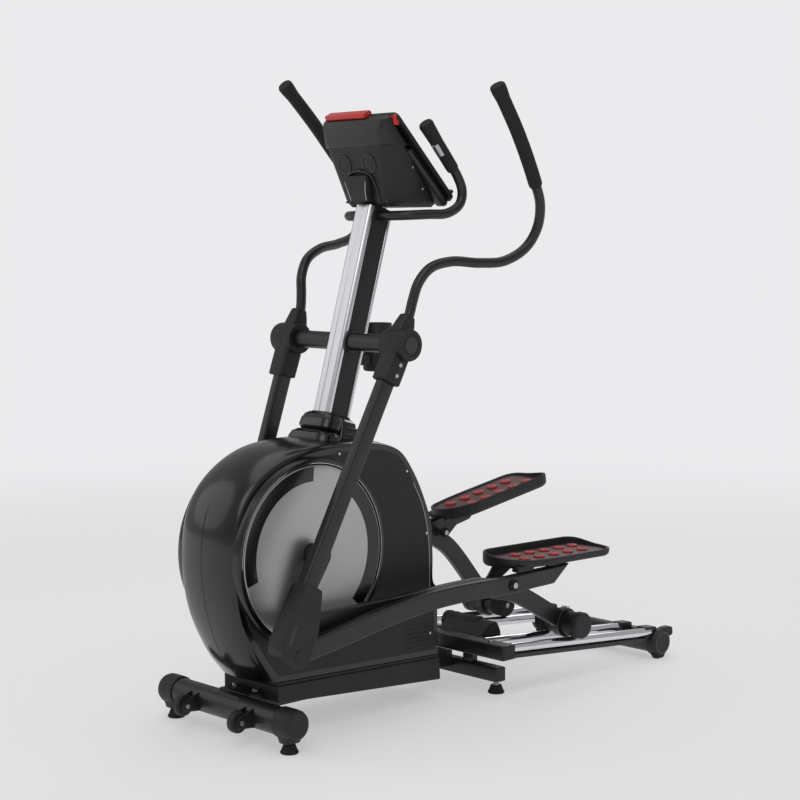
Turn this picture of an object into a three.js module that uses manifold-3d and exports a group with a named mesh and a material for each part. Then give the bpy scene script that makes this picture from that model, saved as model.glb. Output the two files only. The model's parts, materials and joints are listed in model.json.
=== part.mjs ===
// Front-drive elliptical trainer, in millimetres, +Z up, the user facing -Y.
// X runs across the machine with the user's left at +X, Y runs from the nose to the tail.
// Heights are above the floor. Y is measured from the front levelling feet while building,
// and the whole group is then centred over the middle of its own footprint.

import * as THREE from "three";
import { mergeVertices } from "three/addons/utils/BufferGeometryUtils.js";
import Module from "manifold-3d";

const wasm = await Module();
wasm.setup();

// ---------------------------------------------------------------- driving dimensions

const FIT = 0.4; // gap between pieces that seat on or turn in one another
const TURN = 0.8; // radial play of a bore round a turning piece
const WALL = 2.5; // steel tube wall
const SHELL = 3; // moulded cover wall
const DEG = Math.PI / 180;
const FINE = 18; // sides of a round piece
const COARSE = 10; // sides of a small round piece

// Front stabilizer and the parts on it.
const FRONT = {
  radius: 38,
  z: 79,
  half: 222,
  capRadius: 42,
  capLength: 66,
  footOut: 28,
  saddleHalf: 60,
  saddleTop: 118,
  saddleEnd: 75,
};
const FRONT_CAP_END = FRONT.half + FRONT.capLength;
const FRONT_FOOT_X = FRONT.half + FRONT.footOut;
const TRANSPORT_WHEEL = { radius: 30, width: 24, x: 120, y: -72, z: 72, axle: 5 };
const FOOT = { pad: 25, neck: 16, padTop: 24, screw: 5, screwTop: 58 };

// Main beam, post and middle stabilizer.
const BEAM = { half: 30, low: 58, high: 106, end: 835 };
const POST = { half: 25, depth: 35 };
const MID = { half: 215, y: 856, depth: 40, low: 36, high: 80, footX: 195 };

// Rails, their front cross-beam and the rear stabilizer.
const CROSS = { half: 262, y0: 814, y1: 868, low: 112, high: 156 };
const RAIL = { radius: 15, outer: 240, inner: 130, y: 894, z: 139, slope: -0.08, under: 26 };
const REAR = { radius: 37, y: 1565, z: 52, half: 232, capRadius: 43, capLength: 38 };
const RAIL_END = REAR.y - REAR.radius - 2; // where the rail tubes stop inside their sockets
const SOCKET_START = RAIL_END - 24; // front face of the rear stabilizer's rail sockets
const RAIL_PIVOT = { radius: 29, x0: -100, x1: 50, y: 942, z: 166 };

// Crank drive.
const HUB = { y: 190, z: 495 };
const CRANK = { throw: 200, angle: 29 * DEG, x0: 146, x1: 164, pin: 11, pinEnd: 184 };
const AXLE = 12.5;
const DISC = { radius: 246, x: 134 };
const BEZEL = { inner: 250, outer: 266, face: 136 };
const PULLEY = { radius: 140, x0: 34, x1: 50 };
const FLYWHEEL = { y: 500, z: 370, radius: 125, rim: 30, x0: -18, x1: 12, axle: 8, pulley: 20 };
const BELT = { thick: 3, gap: 1.5 };
const BRAKE = { y: 392, z: 132, pin: 6, from: 205 * DEG, to: 250 * DEG, thick: 18, gap: 3 };

// Swing arms: pivot tube, arm length and section.
const PIVOT = { y: 420, z: 1066, radius: 25.5, half: 258 };
const ARM = {
  length: 900,
  sleeveWall: 6.7,
  x0: 200,
  x1: 262,
  tubeX: 30,
  tubeS: 50,
  topX: 232,
  foot: -40,
};
const ARM_SLEEVE = PIVOT.radius + TURN + ARM.sleeveWall; // outer radius of the pivot sleeve
const HOUSING = { cover: 12, x0: 190, x1: 280 };
const HANDLE = { radius: 14.5, grip: 20, gripLength: 318, steps: 26 };

// Foot links, pedals and pedal arms.
const LINK = { length: 838, x: 252, width: 34, height: 54, tail: 1090, eye: 27, pin: 9 };
const CLEVIS = { play: 3, thick: 5.5, above: 62, head: 22 };
const CLEVIS_HALF = LINK.width / 2 + CLEVIS.play; // from the link's middle to a clevis plate
const PEDAL = { x: 192, length: 450, width: 182, start: 842, floor: 62, pitch: -5.5 * DEG };
const PEDAL_ARM = { toJoint: 758, bend: 9 * DEG, x0: 190, x1: 215, height: 56, eye: 34 };
const ROLLER = { radius: 38, cap: 41, housing: 36, axle: 9, end: 283 };
const REST_ROLLER_Y = 1155;

// Mast: leaning extrusion that starts inside the collar.
const LEAN = 16 * DEG;
const MAST = { y: 377, z: 880, halfX: 32.5, halfD: 45, low: -123, high: 588 };

// Shroud and skirt.
const SHROUD = { half: 115, split: 0.2 };
const SKIRT = { half: 118, y0: 70, y1: 698, step: 8 };
const COLLAR = {
  low: -122,
  high: -24,
  front: { low: [-84, 84, -84, 2], high: [-58, 58, -54, 2] },
  rear: { low: [-62, 62, 0, 58], high: [-52, 52, 0, 52] },
};

// Console and fixed bar.
const CONSOLE = { half: 140, face: 14, lip: 6, window: 92 };
const NECK = { low: 1464, high: 1538 };
const BAR_AT = { y: 533, z: 1424 };
const BAR = { radius: 14, grip: 19, gripLength: 170, steps: 30 };
const BOTTLE = { radius: 42, height: 140, y: 552, z: 975 };

// ---------------------------------------------------------------- finishes

const finish = (color, roughness, metalness) =>
  new THREE.MeshStandardMaterial({ color, roughness, metalness });
const framePaint = finish(0x232325, 0.5, 0.2);
const matteBlack = finish(0x262628, 0.6, 0);
const glossBlack = finish(0x111113, 0.2, 0);
const rubber = finish(0x181818, 0.85, 0);
const redRubber = finish(0xb0403a, 0.6, 0);
const redPlastic = finish(0xc23a35, 0.4, 0);
const discSilver = finish(0xb9b9bb, 0.4, 0.8);
const aluminium = finish(0xd9d9db, 0.3, 0.9);
const chrome = finish(0xe2e2e4, 0.12, 1);
const zincSteel = finish(0xa9abad, 0.35, 0.9);
const castIron = finish(0x4a4b4d, 0.6, 0.7);

// ---------------------------------------------------------------- solids

// A closed three.js geometry as a manifold solid.
function solidOf(geometry) {
  const bare = geometry.clone();
  bare.deleteAttribute("normal");
  bare.deleteAttribute("uv");
  const merged = mergeVertices(bare, 1e-3);
  const triVerts = new Uint32Array(merged.index.array);
  const vertProperties = new Float32Array(merged.attributes.position.array);
  return new wasm.Manifold(new wasm.Mesh({ numProp: 3, vertProperties, triVerts }));
}

// A manifold solid as a flat-shaded three.js geometry.
function geometryOf(solid) {
  const mesh = solid.getMesh();
  const indexed = new THREE.BufferGeometry()
    .setAttribute("position", new THREE.BufferAttribute(mesh.vertProperties, 3))
    .setIndex(new THREE.BufferAttribute(mesh.triVerts, 1));
  const flat = indexed.toNonIndexed();
  flat.computeVertexNormals();
  return flat;
}

const join = (...solids) => solids.reduce((all, one) => all.add(one));
const cut = (body, ...tools) => tools.reduce((rest, tool) => rest.subtract(tool), body);

function block(x0, x1, y0, y1, z0, z1) {
  const box = new THREE.BoxGeometry(x1 - x0, y1 - y0, z1 - z0);
  box.translate((x0 + x1) / 2, (y0 + y1) / 2, (z0 + z1) / 2);
  return solidOf(box);
}

// A prism between two rectangles, each [x0, x1, y0, y1], at heights z0 and z1.
function frustum(lower, z0, upper, z1) {
  const box = new THREE.BoxGeometry(1, 1, 1);
  const at = box.attributes.position;
  for (let i = 0; i < at.count; i++) {
    const [x0, x1, y0, y1] = at.getZ(i) < 0 ? lower : upper;
    const z = at.getZ(i) < 0 ? z0 : z1;
    at.setXYZ(i, at.getX(i) < 0 ? x0 : x1, at.getY(i) < 0 ? y0 : y1, z);
  }
  return solidOf(box);
}

// A cylinder along X.
function rod(radius, x0, x1, y = 0, z = 0, sides = FINE) {
  const cylinder = new THREE.CylinderGeometry(radius, radius, x1 - x0, sides);
  cylinder.rotateZ(-Math.PI / 2);
  cylinder.translate((x0 + x1) / 2, y, z);
  return solidOf(cylinder);
}

// A cylinder along Z.
function column(radius, z0, z1, x = 0, y = 0, sides = COARSE) {
  const cylinder = new THREE.CylinderGeometry(radius, radius, z1 - z0, sides);
  cylinder.rotateX(Math.PI / 2);
  cylinder.translate(x, y, (z0 + z1) / 2);
  return solidOf(cylinder);
}

// A turned piece about a line along X: the profile is a list of [radius, x].
function turnedX(profile, y = 0, z = 0, sides = FINE) {
  const points = profile.map(([r, x]) => new THREE.Vector2(r, x));
  const lathe = new THREE.LatheGeometry(points, sides);
  lathe.rotateZ(-Math.PI / 2);
  lathe.translate(0, y, z);
  const solid = new wasm.Manifold(meshOf(lathe));
  return solid.volume() < 0 ? solidOf(turnedOver(lathe)) : solid;
}

// A turned piece about a line along Z: the profile is a list of [radius, z].
function turnedZ(profile, x = 0, y = 0, sides = COARSE) {
  const points = profile.map(([r, z]) => new THREE.Vector2(r, z));
  const lathe = new THREE.LatheGeometry(points, sides);
  lathe.rotateX(Math.PI / 2);
  lathe.translate(x, y, 0);
  const solid = new wasm.Manifold(meshOf(lathe));
  return solid.volume() < 0 ? solidOf(turnedOver(lathe)) : solid;
}

function meshOf(geometry) {
  const bare = geometry.clone();
  bare.deleteAttribute("normal");
  bare.deleteAttribute("uv");
  const merged = mergeVertices(bare, 1e-3);
  const index = merged.index.array;
  const kept = [];
  for (let i = 0; i < index.length; i += 3) {
    const [a, b, c] = [index[i], index[i + 1], index[i + 2]];
    if (a !== b && b !== c && c !== a) kept.push(a, b, c);
  }
  const vertProperties = new Float32Array(merged.attributes.position.array);
  return new wasm.Mesh({ numProp: 3, vertProperties, triVerts: new Uint32Array(kept) });
}

// The same geometry with every face turned to look the other way.
function turnedOver(geometry) {
  const bare = geometry.clone();
  const index = bare.index.array;
  for (let i = 0; i < index.length; i += 3) {
    [index[i + 1], index[i + 2]] = [index[i + 2], index[i + 1]];
  }
  return bare;
}

const shapeOf = (outline) =>
  new THREE.Shape(outline.map(([a, b]) => new THREE.Vector2(a, b)));

// A plate cut to an outline of [y, z] points, between x0 and x1, with an optional chamfer.
function slab(outline, x0, x1, chamfer = 0) {
  const plate = new THREE.ExtrudeGeometry(shapeOf(outline), {
    depth: x1 - x0 - 2 * chamfer,
    bevelEnabled: chamfer > 0,
    bevelThickness: chamfer,
    bevelSize: chamfer,
    bevelOffset: -chamfer,
    bevelSegments: 1,
  });
  const axes = [new THREE.Vector3(0, 1, 0), new THREE.Vector3(0, 0, 1), new THREE.Vector3(1, 0, 0)];
  plate.applyMatrix4(new THREE.Matrix4().makeBasis(...axes));
  plate.translate(x0 + chamfer, 0, 0);
  return solidOf(plate);
}

// A plate cut to an outline of [x, y] points, between z0 and z1.
function plate(outline, z0, z1) {
  const flat = new THREE.ExtrudeGeometry(shapeOf(outline), { depth: z1 - z0, bevelEnabled: false });
  flat.translate(0, 0, z0);
  return solidOf(flat);
}

// A round bar or, with a bore, a round tube along a curve.
function pipe(curve, radius, bore = 0, steps = 40, sides = COARSE) {
  const shape = new THREE.Shape();
  shape.absarc(0, 0, radius, 0, 2 * Math.PI);
  if (bore > 0) {
    const hole = new THREE.Path();
    hole.absarc(0, 0, bore, 0, 2 * Math.PI, true);
    shape.holes.push(hole);
  }
  const options = { steps, curveSegments: sides / 2, extrudePath: curve, bevelEnabled: false };
  return solidOf(new THREE.ExtrudeGeometry(shape, options));
}

// The outline of a band of the given height whose middle line runs through [y, z] points.
function band(points, height, samples = 14) {
  const line = points.map(([y, z]) => new THREE.Vector3(y, z, 0));
  const curve = new THREE.CatmullRomCurve3(line, false, "centripetal");
  const top = [];
  const bottom = [];
  for (let i = 0; i <= samples; i++) {
    const at = curve.getPointAt(i / samples);
    const along = curve.getTangentAt(i / samples);
    top.push([at.x - (along.y * height) / 2, at.y + (along.x * height) / 2]);
    bottom.push([at.x + (along.y * height) / 2, at.y - (along.x * height) / 2]);
  }
  return [...bottom, ...top.reverse()];
}

// The outline of a belt round two circles: the outer tangents and the two arcs.
function aroundCircles(a, radiusA, b, radiusB, arcs = 10) {
  const away = Math.atan2(b[1] - a[1], b[0] - a[0]);
  const open = Math.acos((radiusA - radiusB) / Math.hypot(b[0] - a[0], b[1] - a[1]));
  const points = [];
  for (let i = 0; i <= arcs; i++) {
    const turn = away + open + ((2 * Math.PI - 2 * open) * i) / arcs;
    points.push([a[0] + radiusA * Math.cos(turn), a[1] + radiusA * Math.sin(turn)]);
  }
  for (let i = 0; i <= arcs; i++) {
    const turn = away - open + (2 * open * i) / arcs;
    points.push([b[0] + radiusB * Math.cos(turn), b[1] + radiusB * Math.sin(turn)]);
  }
  return points;
}

// A rectangle with round corners as [x, y] points.
function roundedRectangle(x0, x1, y0, y1, radius, arcs = 4) {
  const corners = [
    [x1 - radius, y0 + radius, -90],
    [x1 - radius, y1 - radius, 0],
    [x0 + radius, y1 - radius, 90],
    [x0 + radius, y0 + radius, 180],
  ];
  const points = [];
  for (const [x, y, start] of corners) {
    for (let i = 0; i <= arcs; i++) {
      const turn = (start + (90 * i) / arcs) * DEG;
      points.push([x + radius * Math.cos(turn), y + radius * Math.sin(turn)]);
    }
  }
  return points;
}

// The room for a bar inside its grip: the bar grown by the fit gap, also past its end.
function barRoom(curve, radius, steps) {
  const end = curve.getPointAt(1);
  const along = curve.getTangentAt(1);
  const before = end.clone().addScaledVector(along, -radius);
  const after = end.clone().addScaledVector(along, FIT);
  const tip = pipe(new THREE.LineCurve3(before, after), radius + FIT, 0, 1);
  return join(pipe(curve, radius + FIT, 0, steps), tip);
}

const smooth = (points) =>
  new THREE.CatmullRomCurve3(
    points.map(([x, y, z]) => new THREE.Vector3(x, y, z)),
    false,
    "centripetal",
  );

// ---------------------------------------------------------------- linkage at rest

// The rail's middle line, and the line that the roller axles keep above it.
const railZ = (y) => RAIL.z + RAIL.slope * (y - RAIL.y);
const axleLift = (RAIL.radius + ROLLER.radius + FIT) * Math.hypot(1, RAIL.slope);
const axleZ = (y) => railZ(y) + axleLift;
const RAIL_ANGLE = Math.atan(RAIL.slope);

const crankPin = (angle) => [
  HUB.y - CRANK.throw * Math.sin(angle),
  HUB.z - CRANK.throw * Math.cos(angle),
];

// The pedal arm's length is what puts the left roller at its rest place.
const leftPin = crankPin(CRANK.angle);
const ARM_REACH = Math.hypot(REST_ROLLER_Y - leftPin[0], axleZ(REST_ROLLER_Y) - leftPin[1]);

// The point on the axle line at a distance from the pin, on the rear side.
function rollerPlace(pin) {
  const drop = axleZ(0) - pin[1];
  const a = 1 + RAIL.slope * RAIL.slope;
  const b = -pin[0] + RAIL.slope * drop;
  const c = pin[0] * pin[0] + drop * drop - ARM_REACH * ARM_REACH;
  const y = (-b + Math.sqrt(b * b - a * c)) / a;
  return [y, axleZ(y)];
}

// Where the swing arm's lower pin lies, given the joint between foot link and pedal arm.
function lowerPin(joint) {
  const dy = joint[0] - PIVOT.y;
  const dz = joint[1] - PIVOT.z;
  const span = Math.hypot(dy, dz);
  const along = (ARM.length ** 2 - LINK.length ** 2 + span ** 2) / (2 * span);
  const aside = Math.sqrt(ARM.length ** 2 - along ** 2);
  return [
    PIVOT.y + (along * dy + aside * dz) / span,
    PIVOT.z + (along * dz - aside * dy) / span,
  ];
}

function linkage(angle) {
  const pin = crankPin(angle);
  const roller = rollerPlace(pin);
  const pitch = Math.atan2(roller[1] - pin[1], roller[0] - pin[0]);
  const joint = [
    pin[0] + PEDAL_ARM.toJoint * Math.cos(pitch + PEDAL_ARM.bend),
    pin[1] + PEDAL_ARM.toJoint * Math.sin(pitch + PEDAL_ARM.bend),
  ];
  const lower = lowerPin(joint);
  return {
    roller,
    pitch,
    lower,
    armAngle: Math.atan2(PIVOT.y - lower[0], PIVOT.z - lower[1]),
    linkPitch: Math.atan2(joint[1] - lower[1], joint[0] - lower[0]),
  };
}

// ---------------------------------------------------------------- assembly

const trainer = new THREE.Group();

function place(group, name, solid, material) {
  const mesh = new THREE.Mesh(geometryOf(solid), material);
  mesh.name = name;
  group.add(mesh);
}

// A group turned about X with its origin at [y, z].
function frameAt(parent, y, z, turn) {
  const group = new THREE.Group();
  group.position.set(0, y, z);
  group.rotation.x = turn;
  parent.add(group);
  return group;
}

const SIDES = [
  ["left", 1],
  ["right", -1],
];

function sideGroup(sign) {
  const group = new THREE.Group();
  group.scale.x = sign;
  trainer.add(group);
  return group;
}

// A levelling foot: rubber pad with its threaded stem, standing on the floor.
function levellingFoot(x, y) {
  const profile = [
    [0, 0],
    [FOOT.pad - 1, 0],
    [FOOT.pad, 5],
    [FOOT.neck, FOOT.padTop],
    [FOOT.screw, FOOT.padTop],
    [FOOT.screw, FOOT.screwTop],
    [0, FOOT.screwTop],
  ];
  return turnedZ(profile, x, y);
}

const footHole = (x, y, bottom) =>
  column(FOOT.screw + TURN, bottom - 1, FOOT.screwTop + 4, x, y, COARSE);

function frontStabilizer() {
  const { radius, z, half, saddleHalf, saddleTop, saddleEnd } = FRONT;
  const wheel = TRANSPORT_WHEEL;
  const saddle = block(-saddleHalf, saddleHalf, -20, saddleEnd, z + 10, saddleTop);
  let body = join(rod(radius, -half, half, 0, z), saddle);
  const gap = wheel.width / 2 + 2;
  const reach = 17;
  for (const side of [-1, 1]) {
    for (const ear of [-1, 1]) {
      const edge = side * wheel.x + ear * gap;
      const [x0, x1] = ear > 0 ? [edge, edge + 4] : [edge - 4, edge];
      const outline = aroundCircles([wheel.y, wheel.z], reach, [-8, z], 30, 6);
      body = body.add(slab(outline, x0, x1));
    }
    const middle = side * wheel.x;
    const axle = rod(wheel.axle, middle - gap - 6, middle + gap + 6, wheel.y, wheel.z, COARSE);
    body = body.add(axle);
  }
  return cut(body, rod(radius - SHELL, -half - 1, half + 1, 0, z));
}

function transportWheel() {
  const { radius, width, axle } = TRANSPORT_WHEEL;
  const bore = axle + TURN;
  const profile = [
    [bore, -width / 2],
    [radius - 3, -width / 2],
    [radius, -width / 2 + 3],
    [radius, width / 2 - 3],
    [radius - 3, width / 2],
    [bore, width / 2],
    [bore, -width / 2],
  ];
  return turnedX(profile, 0, 0, FINE);
}

// End cap of the front stabilizer with the block that holds its levelling foot.
function frontCap() {
  const { radius, z, half, capRadius } = FRONT;
  const capEnd = FRONT_CAP_END;
  const footX = FRONT_FOOT_X;
  const shell = turnedX(
    [
      [0, half + FIT],
      [capRadius, half + FIT],
      [capRadius, capEnd - 6],
      [capRadius - 6, capEnd],
      [0, capEnd],
    ],
    0,
    z,
  );
  const plug = rod(radius - SHELL - FIT, half - 24, half + 1, 0, z);
  const foot = frustum([footX - 20, footX + 22, -26, 26], 30, [footX - 24, footX + 30, -34, 34], z);
  return cut(join(shell, plug, foot), footHole(footX, 0, 29));
}

function mastFrame(solidInMast) {
  const turn = new THREE.Matrix4().makeRotationX(-LEAN).setPosition(0, MAST.y, MAST.z);
  return solidOf(geometryOf(solidInMast).applyMatrix4(turn));
}

// Where a level line across the machine at [y, z] crosses the mast's own frame.
function inMast(y, z) {
  const dy = y - MAST.y;
  const dz = z - MAST.z;
  const depth = dy * Math.cos(LEAN) - dz * Math.sin(LEAN);
  const height = dy * Math.sin(LEAN) + dz * Math.cos(LEAN);
  return [depth, height];
}

// Welded frame: beam, front flange, leaning post, crank bearing shell and flywheel fork.
function baseFrame() {
  const start = FRONT.saddleEnd + FIT;
  const beam = block(-BEAM.half, BEAM.half, start, BEAM.end, BEAM.low, BEAM.high);
  const flange = block(-FRONT.saddleHalf, FRONT.saddleHalf, start, start + 8, 62, FRONT.saddleTop);
  const postLow = -(MAST.z - BEAM.high + 6) / Math.cos(LEAN);
  const postTop = MAST.low - 2;
  const post = mastFrame(block(-POST.half, POST.half, -POST.depth, POST.depth, postLow, postTop));
  const bearing = rod(AXLE + 16, -62, 28, HUB.y, HUB.z);
  const gusset = block(-20, 20, HUB.y + 10, HUB.y + 62, HUB.z - 25, HUB.z + 25);
  let body = join(beam, flange, post, bearing, gusset);
  for (const [x0, x1] of forkPlates()) {
    const { y, z } = FLYWHEEL;
    const outline = [
      [y - 60, BEAM.high - 4],
      [y + 60, BEAM.high - 4],
      [y + 18, z],
      [y, z + 18],
      [y - 18, z],
    ];
    body = body.add(slab(outline, x0, x1));
  }
  for (const ear of [-1, 1]) {
    const x = ear * 15;
    body = body.add(block(x - 4, x + 4, BRAKE.y - 12, BRAKE.y + 12, BEAM.high - 4, BRAKE.z + 12));
  }
  const inside = block(
    -BEAM.half + WALL,
    BEAM.half - WALL,
    start + 8,
    BEAM.end + 1,
    BEAM.low + WALL,
    BEAM.high - WALL,
  );
  const postInside = mastFrame(
    block(
      -POST.half + WALL,
      POST.half - WALL,
      -POST.depth + WALL,
      POST.depth - WALL,
      postLow + 20,
      MAST.low + 2,
    ),
  );
  return cut(
    body,
    inside,
    postInside,
    rod(AXLE + TURN, -70, 40, HUB.y, HUB.z),
    rod(FLYWHEEL.axle + TURN, -60, 60, FLYWHEEL.y, FLYWHEEL.z, COARSE),
    rod(BRAKE.pin + TURN, -30, 30, BRAKE.y, BRAKE.z, COARSE),
  );
}

// The two fork plates stand just clear of the flywheel's faces.
const forkPlates = () => [
  [FLYWHEEL.x0 - 14, FLYWHEEL.x0 - 8],
  [FLYWHEEL.x1 + 8, FLYWHEEL.x1 + 14],
];

// Magnet brake: an arc that hugs the flywheel rim, on a lever pinned to the beam.

function brakeArm() {
  const { y, z, radius } = FLYWHEEL;
  const inner = radius + BRAKE.gap;
  const outer = inner + BRAKE.thick;
  const points = [];
  const steps = 8;
  for (let i = 0; i <= steps; i++) {
    const turn = BRAKE.from + ((BRAKE.to - BRAKE.from) * i) / steps;
    points.push([y + outer * Math.cos(turn), z + outer * Math.sin(turn)]);
  }
  for (let i = steps; i >= 0; i--) {
    const turn = BRAKE.from + ((BRAKE.to - BRAKE.from) * i) / steps;
    points.push([y + inner * Math.cos(turn), z + inner * Math.sin(turn)]);
  }
  const shoe = slab(points, FLYWHEEL.x0 - 4, FLYWHEEL.x1 + 4);
  const middle = (BRAKE.from + BRAKE.to) / 2;
  const hold = [y + (inner + 12) * Math.cos(middle), z + (inner + 12) * Math.sin(middle)];
  const lever = slab(aroundCircles([BRAKE.y, BRAKE.z], 10, hold, 8, 6), -10, 10);
  return join(shoe, lever, rod(BRAKE.pin, -19, 19, BRAKE.y, BRAKE.z, COARSE));
}

// Crank axle with its belt pulley: rim, spoked web left solid, and hub.
function drivePulley() {
  const { radius, x0, x1 } = PULLEY;
  const profile = [
    [0, -CRANK.x0 + 6],
    [AXLE, -CRANK.x0 + 6],
    [AXLE, x0],
    [28, x0],
    [28, x0 + 5],
    [radius - 14, x0 + 5],
    [radius - 14, x0],
    [radius, x0],
    [radius, x1],
    [radius - 14, x1],
    [radius - 14, x1 - 5],
    [28, x1 - 5],
    [28, x1],
    [AXLE, x1],
    [AXLE, CRANK.x0 - 6],
    [0, CRANK.x0 - 6],
  ];
  return turnedX(profile, HUB.y, HUB.z, FINE + 6);
}

// Flywheel with its own axle and the small belt pulley on the axle's end.
function flywheel() {
  const { y, z, radius, rim, x0, x1, axle, pulley } = FLYWHEEL;
  const middle = (x0 + x1) / 2;
  const profile = [
    [0, x0 - 22],
    [axle, x0 - 22],
    [axle, x0 - 4],
    [22, x0 - 4],
    [22, middle - 4],
    [radius - rim, middle - 4],
    [radius - rim, x0],
    [radius, x0],
    [radius, x1],
    [radius - rim, x1],
    [radius - rim, middle + 4],
    [22, middle + 4],
    [22, x1 + 4],
    [axle, x1 + 4],
    [axle, PULLEY.x0],
    [pulley, PULLEY.x0],
    [pulley, PULLEY.x1],
    [0, PULLEY.x1],
  ];
  return turnedX(profile, y, z, FINE + 6);
}

function driveBelt() {
  const big = [HUB.y, HUB.z];
  const small = [FLYWHEEL.y, FLYWHEEL.z];
  const loop = (extra) =>
    aroundCircles(big, PULLEY.radius + extra, small, FLYWHEEL.pulley + extra, 20);
  const outer = slab(loop(BELT.gap + BELT.thick), PULLEY.x0 + 2, PULLEY.x1 - 2);
  return cut(outer, slab(loop(BELT.gap), PULLEY.x0 + 1, PULLEY.x1 - 1));
}

// A closed rectangular tube along X whose levelling feet screw in from below.
function midStabilizer() {
  const { half, y, depth, low, high, footX } = MID;
  const body = block(-half, half, y - depth / 2, y + depth / 2, low, high);
  const inside = block(
    -half + SHELL,
    half - SHELL,
    y - depth / 2 + WALL,
    y + depth / 2 - WALL,
    low + WALL,
    high - WALL,
  );
  return cut(body, inside, footHole(footX, y, low), footHole(-footX, y, low));
}

// A straight bar that follows the rails' slope: across from x0 to x1, between two heights
// above the rails' middle line, from y0 to y1.
function alongRail(x0, x1, above0, above1, y0, y1) {
  const outline = [
    [y0, railZ(y0) + above0],
    [y1, railZ(y1) + above0],
    [y1, railZ(y1) + above1],
    [y0, railZ(y0) + above1],
  ];
  return slab(outline, x0, x1);
}

// Front cross-beam of the rails with its legs, under-bars and the central pivot cover.
function railFrame() {
  const { half, y0, y1, low, high } = CROSS;
  let body = block(-half, half, y0, y1, low, high);
  body = cut(
    body,
    block(-half + SHELL, half - SHELL, y0 + WALL, y1 - WALL, low + WALL, high - WALL),
    block(-40, 40, y0 + 12, y1 - 12, low - 1, low + 6),
  );
  const under = -RAIL.radius - FIT;
  for (const side of [-1, 1]) {
    const legX = side * 90;
    body = body.add(block(legX - 20, legX + 20, y0 + 26, y1 - 4, MID.high + FIT, low + 1));
    const x = side * RAIL.outer;
    const [x0, x1] = [x - RAIL.under / 2, x + RAIL.under / 2];
    body = body.add(alongRail(x0, x1, under - 14, under, y1 - 1, SOCKET_START - 1));
    body = body.add(block(x0, x1, y1 - 8, y1, railZ(y1) + under - 14, low + 4));
  }
  const { radius, x0, x1, y, z } = RAIL_PIVOT;
  const barrel = turnedX(
    [
      [0, x0],
      [radius - 4, x0],
      [radius, x0 + 4],
      [radius, x1 - 4],
      [radius - 4, x1],
      [0, x1],
    ],
    y,
    z,
    FINE,
  );
  const cover = [
    [y1 - 1, low + 6],
    [y + radius, z - 40],
    [y + radius - 3, z - 8],
    [y + 8, z + radius - 4],
    [y - 20, z + radius - 10],
    [y1 - 1, high - 4],
  ];
  return join(body, barrel, slab(cover, x0 + 30, x1 + 60, 3));
}

// One polished guide tube, laid on the slope between cross-beam and rear stabilizer.
function railTube(x) {
  const start = CROSS.y1 + FIT - RAIL.radius * RAIL.slope;
  const finishY = RAIL_END;
  const line = new THREE.LineCurve3(
    new THREE.Vector3(x, start, railZ(start)),
    new THREE.Vector3(x, finishY, railZ(finishY)),
  );
  return pipe(line, RAIL.radius, RAIL.radius - WALL, 1, COARSE);
}

function rearStabilizer() {
  const { radius, y, z, half, capRadius, capLength } = REAR;
  const capEnd = half + capLength;
  let body = rod(radius, -half, half, y, z);
  for (const side of [-1, 1]) {
    const cap = turnedX(
      [
        [0, half - 1],
        [capRadius, half - 1],
        [capRadius, capEnd - 5],
        [capRadius - 5, capEnd],
        [0, capEnd],
      ],
      y,
      z,
    );
    const padFoot = [half + 2, capEnd - 4, y - 34, y + 30];
    const padTop = [half, capEnd - 2, y - 38, y + 38];
    const pad = frustum(padFoot, 0, padTop, 30);
    const lug = block(half + 4, capEnd - 6, y + 20, y + 60, z + 14, z + 38);
    const end = join(cap, pad, lug);
    body = body.add(side > 0 ? end : mirrored(end));
  }
  for (const x of [RAIL.outer - 10, RAIL.inner]) {
    for (const side of [-1, 1]) body = body.add(railSocket(side * x));
  }
  body = cut(body, rod(radius - SHELL, -half + 4, half - 4, y, z), column(5, 0, z, 0, y));
  for (const x of [RAIL.outer, RAIL.inner]) {
    for (const side of [-1, 1]) body = cut(body, railClearance(side * x));
  }
  return body;
}

// The outer sockets stand inboard of their tubes, so each tube is held on three sides.
const railSocket = (x) => {
  const side = RAIL.radius + (Math.abs(x) > RAIL.inner ? 7 : 5);
  const low = -RAIL.radius - 7;
  return alongRail(x - side, x + side, low, RAIL.radius + 3, SOCKET_START, REAR.y - 10);
};

function railClearance(x) {
  const start = new THREE.Vector3(x, RAIL_END - 60, railZ(RAIL_END - 60));
  const end = new THREE.Vector3(x, RAIL_END + FIT, railZ(RAIL_END + FIT));
  return pipe(new THREE.LineCurve3(start, end), RAIL.radius + FIT, 0, 1, COARSE);
}

function mirrored(solid) {
  const flipped = geometryOf(solid).scale(-1, 1, 1);
  const at = flipped.attributes.position.array;
  for (let i = 0; i < at.length; i += 9) {
    for (let k = 0; k < 3; k++) [at[i + 3 + k], at[i + 6 + k]] = [at[i + 6 + k], at[i + 3 + k]];
  }
  return solidOf(flipped);
}

// ---------------------------------------------------------------- shroud, skirt and collar

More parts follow.
